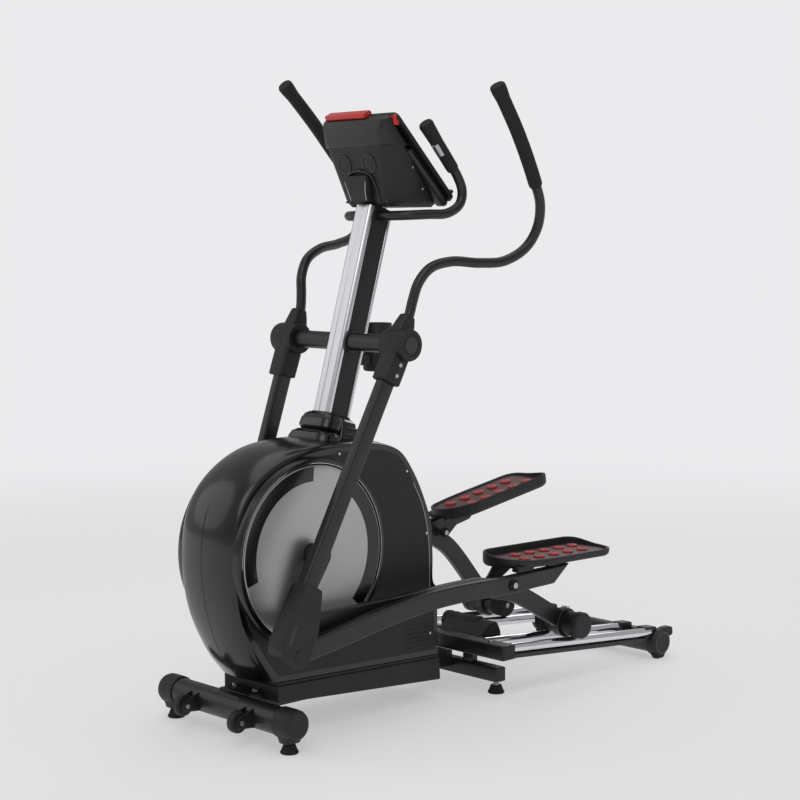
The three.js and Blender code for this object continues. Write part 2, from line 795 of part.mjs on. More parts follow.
// The shroud's side view as [y, z] from the lower front corner, over the top, to the lower
// rear corner: first on the flat sides, then in the middle of the machine.
const sideProfile = [
  [72, 153],
  [14, 228],
  [-42, 322],
  [-66, 415],
  [-71, 500],
  [-60, 590],
  [-20, 668],
  [52, 727],
  [150, 764],
  [266, 778],
  [380, 780],
  [470, 773],
  [536, 748],
  [586, 688],
  [630, 606],
  [658, 528],
  [666, 430],
  [668, 352],
  [682, 332],
  [686, 240],
  [688, 133],
];
const middleProfile = [
  [26, 155],
  [-26, 218],
  [-66, 308],
  [-90, 405],
  [-96, 500],
  [-86, 594],
  [-48, 680],
  [14, 742],
  [96, 786],
  [200, 802],
  [330, 800],
  [450, 788],
  [532, 758],
  [588, 692],
  [634, 606],
  [662, 528],
  [669, 430],
  [671, 352],
  [683, 332],
  [687, 240],
  [688, 133],
];
const skirtTop = (y) => 151 - ((y - SKIRT.y0) * 20) / (SKIRT.y1 - SKIRT.y0);

// A body that swells from the side profile at |x| = half to the middle profile at x = 0.
function swelling(half, inset) {
  const samples = 26;
  const path = (points) => {
    const line = points.map(([y, z]) => new THREE.Vector3(y, z, 0));
    return new THREE.CatmullRomCurve3(line, false, "centripetal").getPoints(samples).reverse();
  };
  const side = path(sideProfile);
  const middle = path(middleProfile);
  const centre = new THREE.Vector3(300, 440, 0);
  const around = side.length;
  const slices = [-90, -58, -28, 0, 28, 58, 90];
  const vertices = [];
  for (const turn of slices) {
    const share = 1 - Math.cos(turn * DEG);
    for (let i = 0; i < around; i++) {
      const at = middle[i].clone().lerp(side[i], share);
      const pull = inset / at.distanceTo(centre);
      at.lerp(centre, pull);
      vertices.push(half * Math.sin(turn * DEG), at.x, at.y);
    }
  }
  const faces = [];
  for (let s = 0; s + 1 < slices.length; s++) {
    for (let i = 0; i < around; i++) {
      const next = (i + 1) % around;
      const [a, b] = [s * around + i, s * around + next];
      const [c, d] = [a + around, b + around];
      faces.push(a, b, d, a, d, c);
    }
  }
  const last = (slices.length - 1) * around;
  const flat = side.map((p) => new THREE.Vector2(p.x, p.y));
  for (const [a, b, c] of THREE.ShapeUtils.triangulateShape(flat, [])) {
    faces.push(a, c, b, last + a, last + b, last + c);
  }
  const made = new THREE.BufferGeometry()
    .setAttribute("position", new THREE.Float32BufferAttribute(vertices, 3))
    .setIndex(faces);
  const solid = new wasm.Manifold(meshOf(made));
  return solid.volume() < 0 ? solidOf(turnedOver(made)) : solid;
}

// Half of the drive cover: everything at x > 0, with the ring round the crank disc.
function shroudHalf() {
  const outer = swelling(SHROUD.half, 0);
  const ring = cut(
    rod(BEZEL.outer, SHROUD.half - 10, BEZEL.face, HUB.y, HUB.z, 48),
    rod(BEZEL.inner, SHROUD.half - 0.5, BEZEL.face + 1, HUB.y, HUB.z, 48),
  );
  const inner = swelling(SHROUD.half - SHELL, SHELL);
  const mouth = block(
    -SHROUD.half + SHELL,
    SHROUD.half - SHELL,
    SKIRT.y0 + 8,
    SKIRT.y1 - 16,
    100,
    260,
  );
  const collarRoom = mastFrame(block(-86, 86, -86, 62, -190, 20));
  return cut(
    join(outer, ring),
    inner,
    mouth,
    collarRoom,
    rod(AXLE + 8, SHROUD.half - 20, SHROUD.half + 20, HUB.y, HUB.z, COARSE),
    block(-400, SHROUD.split, -400, 1200, 0, 1200),
  );
}

// One-piece skirt round the beam, under the shroud, with a step line along its sides.
function baseSkirt() {
  const { half, y0, y1, step } = SKIRT;
  const lower = [
    [y0, 94],
    [y1, 54],
    [y1 - 4, skirtTop(y1) - step],
    [y0, skirtTop(y0) - step],
  ];
  const upper = [
    [y0 + 1, skirtTop(y0) - step - 1],
    [y1 - 5, skirtTop(y1) - step - 1],
    [y1 - 8, skirtTop(y1)],
    [y0 + 1, skirtTop(y0)],
  ];
  const outer = join(slab(lower, -half, half), slab(upper, -half + 4, half - 4));
  return cut(
    outer,
    block(-half + 7, half - 7, y0 + 5, y1 - 12, 0, 300),
    block(-FRONT.saddleHalf - 2, FRONT.saddleHalf + 2, y0 - 5, y0 + 15, 40, FRONT.saddleTop + 2),
    block(-BEAM.half - 2, BEAM.half + 2, y1 - 30, y1 + 5, 20, BEAM.high + 2),
  );
}

// Boot that covers the foot of the mast: a smooth front half and a ribbed rear half.
function mastCollar() {
  const { low, high, front, rear } = COLLAR;
  const smoothHalf = frustum(front.low, low, front.high, high);
  let body = join(smoothHalf, frustum(rear.low, low, rear.high, high - 8));
  const ribs = 4;
  for (let i = 0; i < ribs; i++) {
    const z = low + 14 + i * 20;
    body = body.add(block(-64 + i * 2, 64 - i * 2, 8, 60 - i, z, z + 8));
  }
  const hole = block(
    -MAST.halfX - FIT,
    MAST.halfX + FIT,
    -MAST.halfD - FIT,
    MAST.halfD + FIT,
    low - 10,
    high + 10,
  );
  const hollow = frustum([-76, 76, -76, 50], low - 1, [-50, 50, -47, 47], high - 12);
  return mastFrame(cut(body, hole, hollow));
}

// ---------------------------------------------------------------- mast and what it carries

function mastProfile() {
  const { halfX, halfD, low, high } = MAST;
  const front = plate(roundedRectangle(-halfX, halfX, -halfD, -27, 6, 3), low, high);
  const rear = plate(roundedRectangle(-halfX, halfX, 34, halfD, 4, 2), low, high);
  const web = block(-6, 6, -30, 38, low, high);
  const groove = block(-4, 4, -halfD - 1, -halfD + 2, low - 1, high + 1);
  const [depth, height] = inMast(PIVOT.y, PIVOT.z);
  const through = rod(PIVOT.radius + FIT, -60, 60, depth, height);
  const [barDepth, barHeight] = inMast(BAR_AT.y, BAR_AT.z);
  const barHole = rod(BAR.radius + FIT, -60, 60, barDepth, barHeight);
  return mastFrame(cut(join(front, rear, web), groove, through, barHole));
}

// Black side infill of the mast, both sides joined over its top end.
function mastSideCover() {
  const { halfX, low, high } = MAST;
  const [depth, height] = inMast(PIVOT.y, PIVOT.z);
  const [barDepth, barHeight] = inMast(BAR_AT.y, BAR_AT.z);
  const top = high + FIT + 4;
  const strip = (x0, x1) => block(x0, x1, -27 + FIT, 34 - FIT, low, top);
  const bridge = block(-halfX + 1, halfX - 1, -27 + FIT, 34 - FIT, high + FIT, top);
  return mastFrame(
    cut(
      join(strip(6 + FIT, halfX - 1), strip(-halfX + 1, -6 - FIT), bridge),
      rod(PIVOT.radius + FIT, -60, 60, depth, height),
      rod(BAR.radius + FIT, -60, 60, barDepth, barHeight),
    ),
  );
}

const pivotTube = () =>
  cut(
    rod(PIVOT.radius, -PIVOT.half, PIVOT.half, PIVOT.y, PIVOT.z),
    rod(PIVOT.radius - SHELL, -PIVOT.half - 1, PIVOT.half + 1, PIVOT.y, PIVOT.z),
  );

// Fixed bar: a cross-bar through the mast head whose ends sweep back and up.
const barPath = [
  [0, BAR_AT.y, BAR_AT.z],
  [45, BAR_AT.y, BAR_AT.z],
  [80, BAR_AT.y, BAR_AT.z],
  [122, 552, 1425],
  [150, 610, 1428],
  [160, 680, 1432],
  [163, 726, 1458],
  [163, 736, 1496],
  [162, 716, 1540],
  [160, 656, 1609],
  [158, 596, 1679],
];

function barCurve() {
  const right = barPath.slice(1).map(([x, y, z]) => [-x, y, z]);
  return smooth([...right.reverse(), ...barPath]);
}

const fixedHandlebar = () => pipe(barCurve(), BAR.radius, BAR.radius - 2, BAR.steps);

function fixedGrip() {
  const end = new THREE.Vector3(...barPath.at(-1));
  const before = new THREE.Vector3(...barPath.at(-2));
  const along = end.clone().sub(before).normalize();
  const start = end.clone().addScaledVector(along, -BAR.gripLength + 8);
  const cap = end.clone().addScaledVector(along, 8);
  const sleeve = pipe(new THREE.LineCurve3(start, cap), BAR.grip, 0, 1);
  return cut(sleeve, barRoom(barCurve(), BAR.radius, BAR.steps));
}

// Console: the side view of its rear shell, from the lower front corner round to the lip.
const consoleSide = [
  [512, 1450],
  [704, 1450],
  [712, 1470],
  [484, 1704],
  [458, 1694],
  [452, 1676],
  [470, 1588],
];

function consoleBack() {
  const neckRoom = block(-48, 48, 380, 520, 1400, NECK.high + FIT);
  const mastRoom = block(-MAST.halfX - 2, MAST.halfX + 2, 480, 548, 1400, NECK.low);
  return cut(slab(consoleSide, -CONSOLE.half, CONSOLE.half, 10), neckRoom, mastRoom);
}

// The display face: a framed slab on the sloping side with a shelf along its lower edge.
function consoleFront() {
  const low = new THREE.Vector2(...consoleSide[2]);
  const high = new THREE.Vector2(...consoleSide[3]);
  const along = high.clone().sub(low).normalize();
  const out = new THREE.Vector2(along.y, -along.x);
  const at = (a, o) => {
    const p = low.clone().addScaledVector(along, a).addScaledVector(out, o);
    return [p.x, p.y];
  };
  const length = high.distanceTo(low);
  const half = CONSOLE.half + CONSOLE.lip;
  const thick = CONSOLE.face;
  const slabLine = [at(-6, FIT), at(-6, thick), at(length, thick), at(length, FIT)];
  const face = slab(slabLine, -half, half, 4);
  const shelfLine = [
    at(-6, FIT + 4),
    at(-6, 40),
    at(4, 40),
    at(10, thick - 2),
    at(10, FIT + 4),
  ];
  const shelf = slab(shelfLine, -half + 20, half - 20);
  const windowLine = [at(90, 10), at(90, 30), at(length - 40, 30), at(length - 40, 10)];
  return cut(join(face, shelf), slab(windowLine, -CONSOLE.window, CONSOLE.window));
}

// Red strip that wraps the console's upper edge.
function consoleTrim() {
  const [y, z] = consoleSide[3];
  const outline = [
    [y - 24, z - 7.5],
    [y - 2, z + 0.8],
    [y + 8, z + 12],
    [y - 4, z + 19],
    [y - 30, z + 6],
  ];
  return slab(outline, -120, 46, 1.5);
}

function consoleNeck() {
  const body = frustum([-34, 34, 478, 519], NECK.low, [-46, 46, 460, 518], NECK.high);
  return cut(body, block(-60, 60, 520 - FIT, 640, 1449, 1600));
}

// Open cup behind the mast, held by a bracket that wraps onto the mast's rear face.
function bottleHolder() {
  const { radius, height, y, z } = BOTTLE;
  const cup = turnedZ(
    [
      [0, z],
      [radius - 4, z],
      [radius, z + 6],
      [radius, z + height],
      [radius - SHELL, z + height],
      [radius - SHELL, z + SHELL + 3],
      [0, z + SHELL + 3],
    ],
    0,
    y,
    FINE,
  );
  const bracket = block(-16, 16, y - radius - 44, y - radius + 1, z + 20, z + 52);
  const mastRear = mastFrame(block(-60, 60, -200, MAST.halfD + FIT, -200, 700));
  const inside = column(radius - SHELL - 0.1, z + 7, z + height + 1, 0, y, FINE);
  return cut(join(cup, cut(bracket, mastRear)), inside);
}

// ---------------------------------------------------------------- moving side parts

// Dished crank disc, in the crank's frame.
function crankDisc() {
  const { radius, x } = DISC;
  const profile = [
    [AXLE + FIT, x - 17],
    [60, x - 17],
    [130, x - 12],
    [210, x - 5],
    [radius, x - 3],
    [radius, x],
    [210, x - 2],
    [130, x - 9],
    [60, x - 14],
    [AXLE + FIT, x - 14],
    [AXLE + FIT, x - 17],
  ];
  return turnedX(profile, 0, 0, 2 * FINE);
}

// Crank arm with its hub boss and the stub pin, in the crank's frame with the pin straight down.
function crankArm() {
  const arm = slab(aroundCircles([0, 0], 38, [0, -CRANK.throw], 24, 14), CRANK.x0, CRANK.x1, 2);
  const boss = rod(26, DISC.x - 12, CRANK.x0 + 1, 0, 0);
  const pin = rod(CRANK.pin, CRANK.x1 - 1, CRANK.pinEnd, 0, -CRANK.throw, COARSE);
  return cut(join(arm, boss, pin), rod(AXLE + FIT, 100, CRANK.x0 - 6 + FIT, 0, 0));
}

// Middle line of the hand lever above the pivot: [x, rearward, up] in the arm's frame.
const leverPath = [
  [222, 6, 28],
  [222, 6, 92],
  [223, -1, 134],
  [229, -8, 186],
  [238, 8, 240],
  [252, 62, 287],
  [272, 146, 324],
  [292, 218, 366],
  [314, 260, 430],
  [334, 258, 494],
  [350, 222, 550],
  [359, 160, 594],
  [364, 39, 674],
  [364, -93, 748],
];

const leverCurve = () => smooth(leverPath);

// The tapering room of the lower tube, grown by a gap or shrunk by a wall, in the arm's frame.
function lowerTube(grow, low, high) {
  const { tubeX, tubeS, topX, foot } = ARM;
  const reachX = tubeX / 2 + grow;
  const reachS = tubeS / 2 + grow;
  const lower = [LINK.x - reachX, LINK.x + reachX, foot - reachS, foot + reachS];
  return frustum(lower, low, [topX - reachX, topX + reachX, -reachS, reachS], high);
}

// Lever tube, pivot sleeve, lower tube and clevis in one welded piece, in the arm's frame.
function swingArm() {
  const { length, x0, x1, foot } = ARM;
  const lever = pipe(leverCurve(), HANDLE.radius, 0, HANDLE.steps);
  const ring = rod(ARM_SLEEVE, x0, x1);
  const bottom = -length + CLEVIS.above;
  const tube = lowerTube(0, bottom, -20);
  const inside = lowerTube(-WALL, bottom - 1, -40);
  const { thick, head: reach } = CLEVIS;
  const half = CLEVIS_HALF;
  const [low, high] = [bottom - 8, bottom + 6];
  const head = block(LINK.x - half, LINK.x + half, foot - reach, foot + reach, low, high);
  let body = join(lever, ring, tube, head);
  for (const [a, b] of [
    [LINK.x - half - thick, LINK.x - half],
    [LINK.x + half, LINK.x + half + thick],
  ]) {
    const plateOutline = aroundCircles([0, -length], 18, [foot * 0.9, bottom + 2], 16, 8);
    body = body.add(slab(plateOutline, a, b));
  }
  const pin = rod(LINK.pin, LINK.x - half - 1, LINK.x + half + 1, 0, -length, COARSE);
  const outer = half + thick;
  const headBridge = block(LINK.x - outer, LINK.x + outer, foot - 14, foot + 14, low, high);
  body = join(body, pin, headBridge);
  const drain = column(6, bottom - 20, bottom + 8, LINK.x, foot);
  return cut(body, inside, drain, rod(PIVOT.radius + TURN, x0 - 1, x1 + 1));
}

// Moulded T-shaped cover round the pivot, in the arm's frame.
function pivotHousing() {
  const { cover, x0, x1 } = HOUSING;
  const radius = ARM_SLEEVE + cover;
  const drum = turnedX([
    [0, x0],
    [radius - 3, x0],
    [radius, x0 + 3],
    [radius, x1 - 5],
    [radius - 5, x1],
    [0, x1],
  ]);
  const neck = frustum([200, 250, -32, 32], 15, [204, 242, -20, 24], 88);
  const sleeve = frustum([206, 264, -38, 26], -116, [202, 262, -33, 30], -15);
  const tubeRoom = lowerTube(FIT, -ARM.length + CLEVIS.above, -20);
  return cut(
    join(drum, neck, sleeve),
    rod(ARM_SLEEVE + FIT, ARM.x0 - FIT, ARM.x1 + FIT),
    rod(PIVOT.radius + TURN, x0 - 1, PIVOT.half + 5),
    tubeRoom,
    pipe(leverCurve(), HANDLE.radius + FIT, 0, HANDLE.steps),
  );
}

// Foam grip over the upper end of the hand lever, in the arm's frame.
function leverGrip() {
  const curve = leverCurve();
  const total = curve.getLength();
  const start = 1 - HANDLE.gripLength / total;
  const steps = 8;
  const points = [];
  for (let i = 0; i <= steps; i++) {
    const p = curve.getPointAt(start + ((1 - start) * i) / steps);
    points.push([p.x, p.y, p.z]);
  }
  const end = curve.getPointAt(1);
  const along = curve.getTangentAt(1);
  const tip = end.clone().addScaledVector(along, 9);
  points.push([tip.x, tip.y, tip.z]);
  const sleeve = pipe(smooth(points), HANDLE.grip, 0, steps);
  const flareStart = end.clone().addScaledVector(along, -26);
  const flare = pipe(new THREE.LineCurve3(flareStart, tip), HANDLE.grip + 3, 0, 1);
  return cut(join(sleeve, flare), barRoom(curve, HANDLE.radius, HANDLE.steps));
}

// Moulded cover over the lower joint, in the arm's frame. It is open at the rear, where the
// foot link leaves it.
function armShell() {
  const { length, foot } = ARM;
  const half = CLEVIS_HALF + CLEVIS.thick;
  const x0 = LINK.x - half - FIT;
  const x1 = LINK.x + half + FIT;
  const top = -length + 182;
  const round = (y, z, radius, from) =>
    [0, 1, 2, 3, 4].map((i) => {
      const turn = (from + i * 22.5) * DEG;
      return [y + radius * Math.cos(turn), z + radius * Math.sin(turn)];
    });
  const outline = (grow, end) => [
    ...round(foot, -length + 8, 30 + grow, 180),
    ...round(0, -length, 30 + grow, 270),
    [30 + grow, -length + 70],
    [foot + 34 + grow, end],
    [foot - 22 - grow, end],
    [foot - 30 - grow, -length + 40],
  ];
  const outer = slab(outline(SHELL, top), x0 - SHELL, x1 + SHELL, 3);
  const inner = slab(outline(0, top - 30), x0, x1);
  const tubeRoom = lowerTube(FIT, -length + CLEVIS.above, -20);
  const slot = [
    [0, -length - 22],
    [60, -length - 48],
    [60, -length + 84],
    [10, -length + 84],
    [0, -length + 40],
  ];
  const mouth = slab(slot, LINK.x - LINK.width / 2 - 2, LINK.x + LINK.width / 2 + 2);
  return cut(outer, inner, tubeRoom, mouth);
}

// Middle line of the foot link: [forward pin to rear, up] in the link's frame.
const linkPath = [
  [0, 0],
  [150, 10],
  [330, 25],
  [530, 31],
  [700, 19],
  [LINK.length, 4],
  [930, 0],
  [1010, -5],
  [LINK.tail, -8],
];

function footLink() {
  const { x, width, height, eye, pin } = LINK;
  const x0 = x - width / 2;
  const x1 = x + width / 2;
  const tube = slab(band(linkPath, height), x0, x1, 4);
  const insideLine = [[40, 3], ...linkPath.slice(1), [LINK.tail + 4, -8]];
  const hollow = slab(band(insideLine, height - 2 * WALL), x0 + WALL, x1 - WALL);
  const front = rod(eye, x0, x1, 0, 0);
  const frontTrim = block(x0 - 1, x1 + 1, -60, 60, height / 2, 80);
  const tail = slab(
    [
      [LINK.tail - 46, -60],
      [LINK.tail + 30, -60],
      [LINK.tail + 30, 22],
    ],
    x0 - 1,
    x1 + 1,
  );
  const bore = rod(pin + TURN, x0 - 6, x1 + 6, 0, 0, COARSE);
  return cut(join(tube, front), hollow, bore, tail, frontTrim);
}

// Pedal outline seen from above, [x, along] from the toe: narrow toe, wide heel.
function pedalOutline(inset) {
  const half = PEDAL.width / 2 - inset;
  const length = PEDAL.length - inset;
  const shape = new THREE.Shape();
  shape.moveTo(-half * 0.3, inset);
  shape.quadraticCurveTo(half * 0.62, inset - 4, half * 0.86, 70);
  shape.quadraticCurveTo(half, 130, half, 220);
  shape.lineTo(half, length - 50);
  shape.quadraticCurveTo(half, length, half - 46, length);
  shape.lineTo(-half + 46, length);
  shape.quadraticCurveTo(-half, length, -half, length - 50);
  shape.lineTo(-half, 110);
  shape.quadraticCurveTo(-half, inset + 6, -half * 0.3, inset);
  return shape.getPoints(7).map((p) => [p.x + PEDAL.x, p.y]);
}

// Moulded foot tray with its underside bracket, in the pedal's frame (floor at z = 0).
function pedal() {
  const { x, width } = PEDAL;
  const inside = x - width / 2;
  const outside = x + width / 2;
  const outer = plate(pedalOutline(0), -16, 44);
  const cavity = plate(pedalOutline(7), 0, 60);
  const aboveRim = slabXZ([
    [inside - 5, 34],
    [inside + 22, 32],
    [outside - 40, 12],
    [outside + 5, 10],
    [outside + 5, 90],
    [inside - 5, 90],
  ]);
  const underCut = frustum([-500, 500, -10, 52], -40, [-500, 500, -10, -2], -4);
  const tray = cut(outer, cavity, aboveRim, underCut);
  const seat = LINK.width / 2 - 1;
  const front = block(LINK.x - seat, LINK.x + seat, 26, 96, SUPPORT.front, -8);
  const rear = block(LINK.x - seat, LINK.x + seat, 160, 208, SUPPORT.rear, -8);
  const ribEnd = LINK.x - LINK.width / 2 - 3;
  const rib = block(x - 60, ribEnd, 150, 330, -27, -14);
  const [jointY, jointZ] = SUPPORT.joint;
  const bracket = slab(
    [
      [jointY - 16, jointZ + 8],
      [jointY - 12, jointZ - 14],
      [jointY + 4, jointZ - 19],
      [jointY + 20, jointZ - 10],
      [120, -14],
      [118, -8],
      [20, -8],
    ],
    168,
    176,
  );
  const bolt = rod(15, 164, 177, jointY, jointZ, COARSE);
  return join(tray, front, rear, rib, bracket, bolt);
}

// A prism along the pedal's length cut to an [x, z] outline.
function slabXZ(outline) {
  const prism = new THREE.ExtrudeGeometry(shapeOf(outline), { depth: 600, bevelEnabled: false });
  prism.rotateX(Math.PI / 2);
  prism.translate(0, 500, 0);
  return solidOf(prism);
}

// The foot link's joint and upper face seen from the pedal's frame.
const SUPPORT = (() => {
  const toPedal = (along, up) => {
    const dy = along - PEDAL.start;
    const dz = up - PEDAL.floor;
    return [
      dy * Math.cos(PEDAL.pitch) + dz * Math.sin(PEDAL.pitch),
      -dy * Math.sin(PEDAL.pitch) + dz * Math.cos(PEDAL.pitch),
    ];
  };
  const half = LINK.height / 2 + FIT;
  return {
    joint: toPedal(LINK.length, 4),
    front: toPedal(905, 2.6 + half)[1] + 1,
    rear: toPedal(1036, -5.2 + half)[1] + 1,
  };
})();

// Red rubber mat whose round studs stand up through the tray's liner, in the pedal's frame.
function pedalPad() {
  const mat = plate(pedalOutline(16), FIT, 2);
  let body = mat;
  const rows = 4;
  for (let i = 0; i < rows; i++) {
    for (const side of [-1, 1]) {
      const y = 88 + i * 70 + (side > 0 ? 0 : 30);
      body = body.add(column(16, 1, 9, PEDAL.x + side * 30, y));
    }
  }
  return body;
}

// Cranked pedal arm from crank pin to roller, with its origin at the roller and the pin in front.
function pedalArm() {
  const { toJoint, bend, x0, x1, height, eye } = PEDAL_ARM;
  const pin = [-ARM_REACH, 0];
  const joint = [pin[0] + toJoint * Math.cos(bend), toJoint * Math.sin(bend)];
  const mix = (a, b, t) => [a[0] + (b[0] - a[0]) * t, a[1] + (b[1] - a[1]) * t];
  const before = mix(pin, joint, 0.9);
  const after = mix(joint, [0, 0], 0.22);
  const elbow = [before, mix(before, after, 0.5), after];
  const path = [pin, mix(pin, joint, 0.45), ...elbow, mix(joint, [0, 0], 0.97)];
  const bar = slab(band(path, height), x0, x1, 3);
  const insideLine = [...path.slice(0, 5), mix(joint, [0, 0], 0.85)];
  const hollow = slab(band(insideLine, height - 2 * WALL), x0 + WALL, x1 - WALL);
  const frontEye = rod(eye, x0 - 2, x1 + 2, ...pin);
  const strap = rod(ROLLER.housing + 9, x0 - 4, x1 + 2, 0, 0);
  return cut(
    join(bar, frontEye, strap),
    hollow,
    rod(CRANK.pin + 4, x0 - 6, x1 + 6, ...pin, COARSE),
    rod(ROLLER.housing + TURN, x0 - 10, x1 + 10, 0, 0),
  );
}

// Barrel that carries the roller axle, in the carriage's frame.
function rollerHousing() {
  const inner = RAIL.inner + 20;
  const outer = RAIL.outer - 21;
  const barrel = turnedX([
    [0, inner],
    [ROLLER.housing - 3, inner],
    [ROLLER.housing, inner + 3],
    [ROLLER.housing, outer - 1],
    [ROLLER.housing - 1, outer],
    [0, outer],
  ]);
  return cut(barrel, rod(ROLLER.axle + TURN, inner - 1, outer + 1, 0, 0, COARSE));
}

// Two guide rollers on one axle, with the outer hub cap, in the carriage's frame.
function rollerSet() {
  const { radius, cap, axle, end } = ROLLER;
  const inner = RAIL.inner;
  const outer = RAIL.outer;
  const profile = [
    [0, inner - 22],
    [radius - 8, inner - 22],
    [radius, inner - 16],
    [radius, inner + 16],
    [radius - 4, inner + 19],
    [axle, inner + 19],
    [axle, outer - 20],
    [radius - 4, outer - 20],
    [radius, outer - 16],
    [radius, outer + 19],
    [cap, outer + 19],
    [cap, end - 4],
    [cap - 4, end],
    [0, end],
  ];
  return turnedX(profile, 0, 0, FINE);
}

// ---------------------------------------------------------------- put together

place(trainer, "front_stabilizer", frontStabilizer(), framePaint);
for (const [side, sign] of SIDES) {
  const group = sideGroup(sign);
  place(group, "front_cap_" + side, frontCap(), matteBlack);
  place(group, "levelling_foot_front_" + side, levellingFoot(FRONT_FOOT_X, 0), rubber);
  place(group, "levelling_foot_middle_" + side, levellingFoot(MID.footX, MID.y), rubber);
  const wheelFrame = frameAt(group, TRANSPORT_WHEEL.y, TRANSPORT_WHEEL.z, 0);
  wheelFrame.position.x = TRANSPORT_WHEEL.x;
  place(wheelFrame, "transport_wheel_" + side, transportWheel(), matteBlack);
  place(group, "rail_tube_outer_" + side, railTube(RAIL.outer), chrome);
  place(group, "rail_tube_inner_" + side, railTube(RAIL.inner), chrome);
  place(group, "shroud_" + side, shroudHalf(), glossBlack);
  place(group, "fixed_grip_" + side, fixedGrip(), rubber);
}
place(trainer, "base_frame", baseFrame(), framePaint);
place(trainer, "middle_stabilizer", midStabilizer(), framePaint);
place(trainer, "rail_frame", railFrame(), framePaint);
place(trainer, "rear_stabilizer", rearStabilizer(), framePaint);
place(trainer, "base_skirt", baseSkirt(), matteBlack);
place(trainer, "mast_collar", mastCollar(), glossBlack);
place(trainer, "mast_profile", mastProfile(), aluminium);
place(trainer, "mast_side_cover", mastSideCover(), matteBlack);
place(trainer, "pivot_tube", pivotTube(), framePaint);
place(trainer, "fixed_handlebar", fixedHandlebar(), framePaint);
place(trainer, "console_back", consoleBack(), matteBlack);
place(trainer, "console_front", consoleFront(), glossBlack);
place(trainer, "console_trim", consoleTrim(), redPlastic);
place(trainer, "console_neck", consoleNeck(), matteBlack);
place(trainer, "bottle_holder", bottleHolder(), matteBlack);
place(trainer, "crank_axle_pulley", drivePulley(), zincSteel);
place(trainer, "flywheel", flywheel(), castIron);
place(trainer, "drive_belt", driveBelt(), rubber);
place(trainer, "brake_arm", brakeArm(), zincSteel);

for (const [side, sign] of SIDES) {
  const group = sideGroup(sign);
  const crankAngle = sign > 0 ? CRANK.angle : CRANK.angle + Math.PI;
  const rest = linkage(crankAngle);

  const crankFrame = frameAt(group, HUB.y, HUB.z, -crankAngle);
  place(crankFrame, "crank_disc_" + side, crankDisc(), discSilver);
  place(crankFrame, "crank_arm_" + side, crankArm(), framePaint);

  const armFrame = frameAt(group, PIVOT.y, PIVOT.z, -rest.armAngle);
  place(armFrame, "swing_arm_" + side, swingArm(), framePaint);
  place(armFrame, "pivot_housing_" + side, pivotHousing(), matteBlack);
  place(armFrame, "lever_grip_" + side, leverGrip(), rubber);
  place(armFrame, "arm_shell_" + side, armShell(), matteBlack);

  const linkFrame = frameAt(group, ...rest.lower, rest.linkPitch);
  place(linkFrame, "foot_link_" + side, footLink(), framePaint);
  const pedalFrame = frameAt(linkFrame, PEDAL.start, PEDAL.floor, PEDAL.pitch);
  place(pedalFrame, "pedal_" + side, pedal(), matteBlack);
  place(pedalFrame, "pedal_pad_" + side, pedalPad(), redRubber);

  const pedalArmFrame = frameAt(group, ...rest.roller, rest.pitch);
  place(pedalArmFrame, "pedal_arm_" + side, pedalArm(), framePaint);

  const carriageFrame = frameAt(group, ...rest.roller, RAIL_ANGLE);
  place(carriageFrame, "roller_housing_" + side, rollerHousing(), matteBlack);
  place(carriageFrame, "roller_set_" + side, rollerSet(), rubber);
}

// The origin stands on the floor under the middle of the footprint.
const extent = new THREE.Box3().setFromObject(trainer, true);
trainer.position.set(0, -(extent.min.y + extent.max.y) / 2, -extent.min.z);

export default trainer;
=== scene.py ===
"""Looks for a front-drive elliptical trainer, built round the packed CAD frame.

Sizes are in millimetres while a piece is shaped, with y counted from the front levelling feet,
and turn into metres in the row frame when its mesh is made.
"""

import json
import math

import bpy
import numpy as np
from bpy.props import FloatProperty, FloatVectorProperty
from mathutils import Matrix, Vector


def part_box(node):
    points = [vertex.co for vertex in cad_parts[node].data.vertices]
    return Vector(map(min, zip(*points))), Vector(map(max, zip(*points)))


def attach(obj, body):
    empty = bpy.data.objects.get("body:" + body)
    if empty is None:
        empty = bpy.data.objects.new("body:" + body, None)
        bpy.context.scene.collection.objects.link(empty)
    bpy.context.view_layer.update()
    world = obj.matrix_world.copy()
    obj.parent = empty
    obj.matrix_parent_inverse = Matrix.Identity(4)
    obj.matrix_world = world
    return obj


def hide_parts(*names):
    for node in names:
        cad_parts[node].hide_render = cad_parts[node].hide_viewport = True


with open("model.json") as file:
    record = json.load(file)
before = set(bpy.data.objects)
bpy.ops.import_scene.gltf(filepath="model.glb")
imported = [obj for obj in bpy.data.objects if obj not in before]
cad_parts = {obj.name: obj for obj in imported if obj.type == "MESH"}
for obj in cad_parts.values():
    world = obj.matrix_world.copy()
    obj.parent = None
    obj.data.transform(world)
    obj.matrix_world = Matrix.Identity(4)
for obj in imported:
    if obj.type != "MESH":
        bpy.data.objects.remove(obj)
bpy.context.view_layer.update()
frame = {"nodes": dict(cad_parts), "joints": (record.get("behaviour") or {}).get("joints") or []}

bl_info = {
    "name": "Elliptical Trainer",
    "version": (1, 0, 0),
    "blender": (4, 5, 0),
    "location": "View3D > Sidebar > Trainer",
    "description": "Builds the visible surfaces of an elliptical trainer",
    "category": "Object",
}

# ---------------------------------------------------------------- places

FOOT_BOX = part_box("levelling_foot_front_left")
Y_SHIFT = 0.5 * (FOOT_BOX[0][1] + FOOT_BOX[1][1])
JOINT = {j["name"]: j for j in frame["joints"]}
SIDES = (("left", 1), ("right", -1))

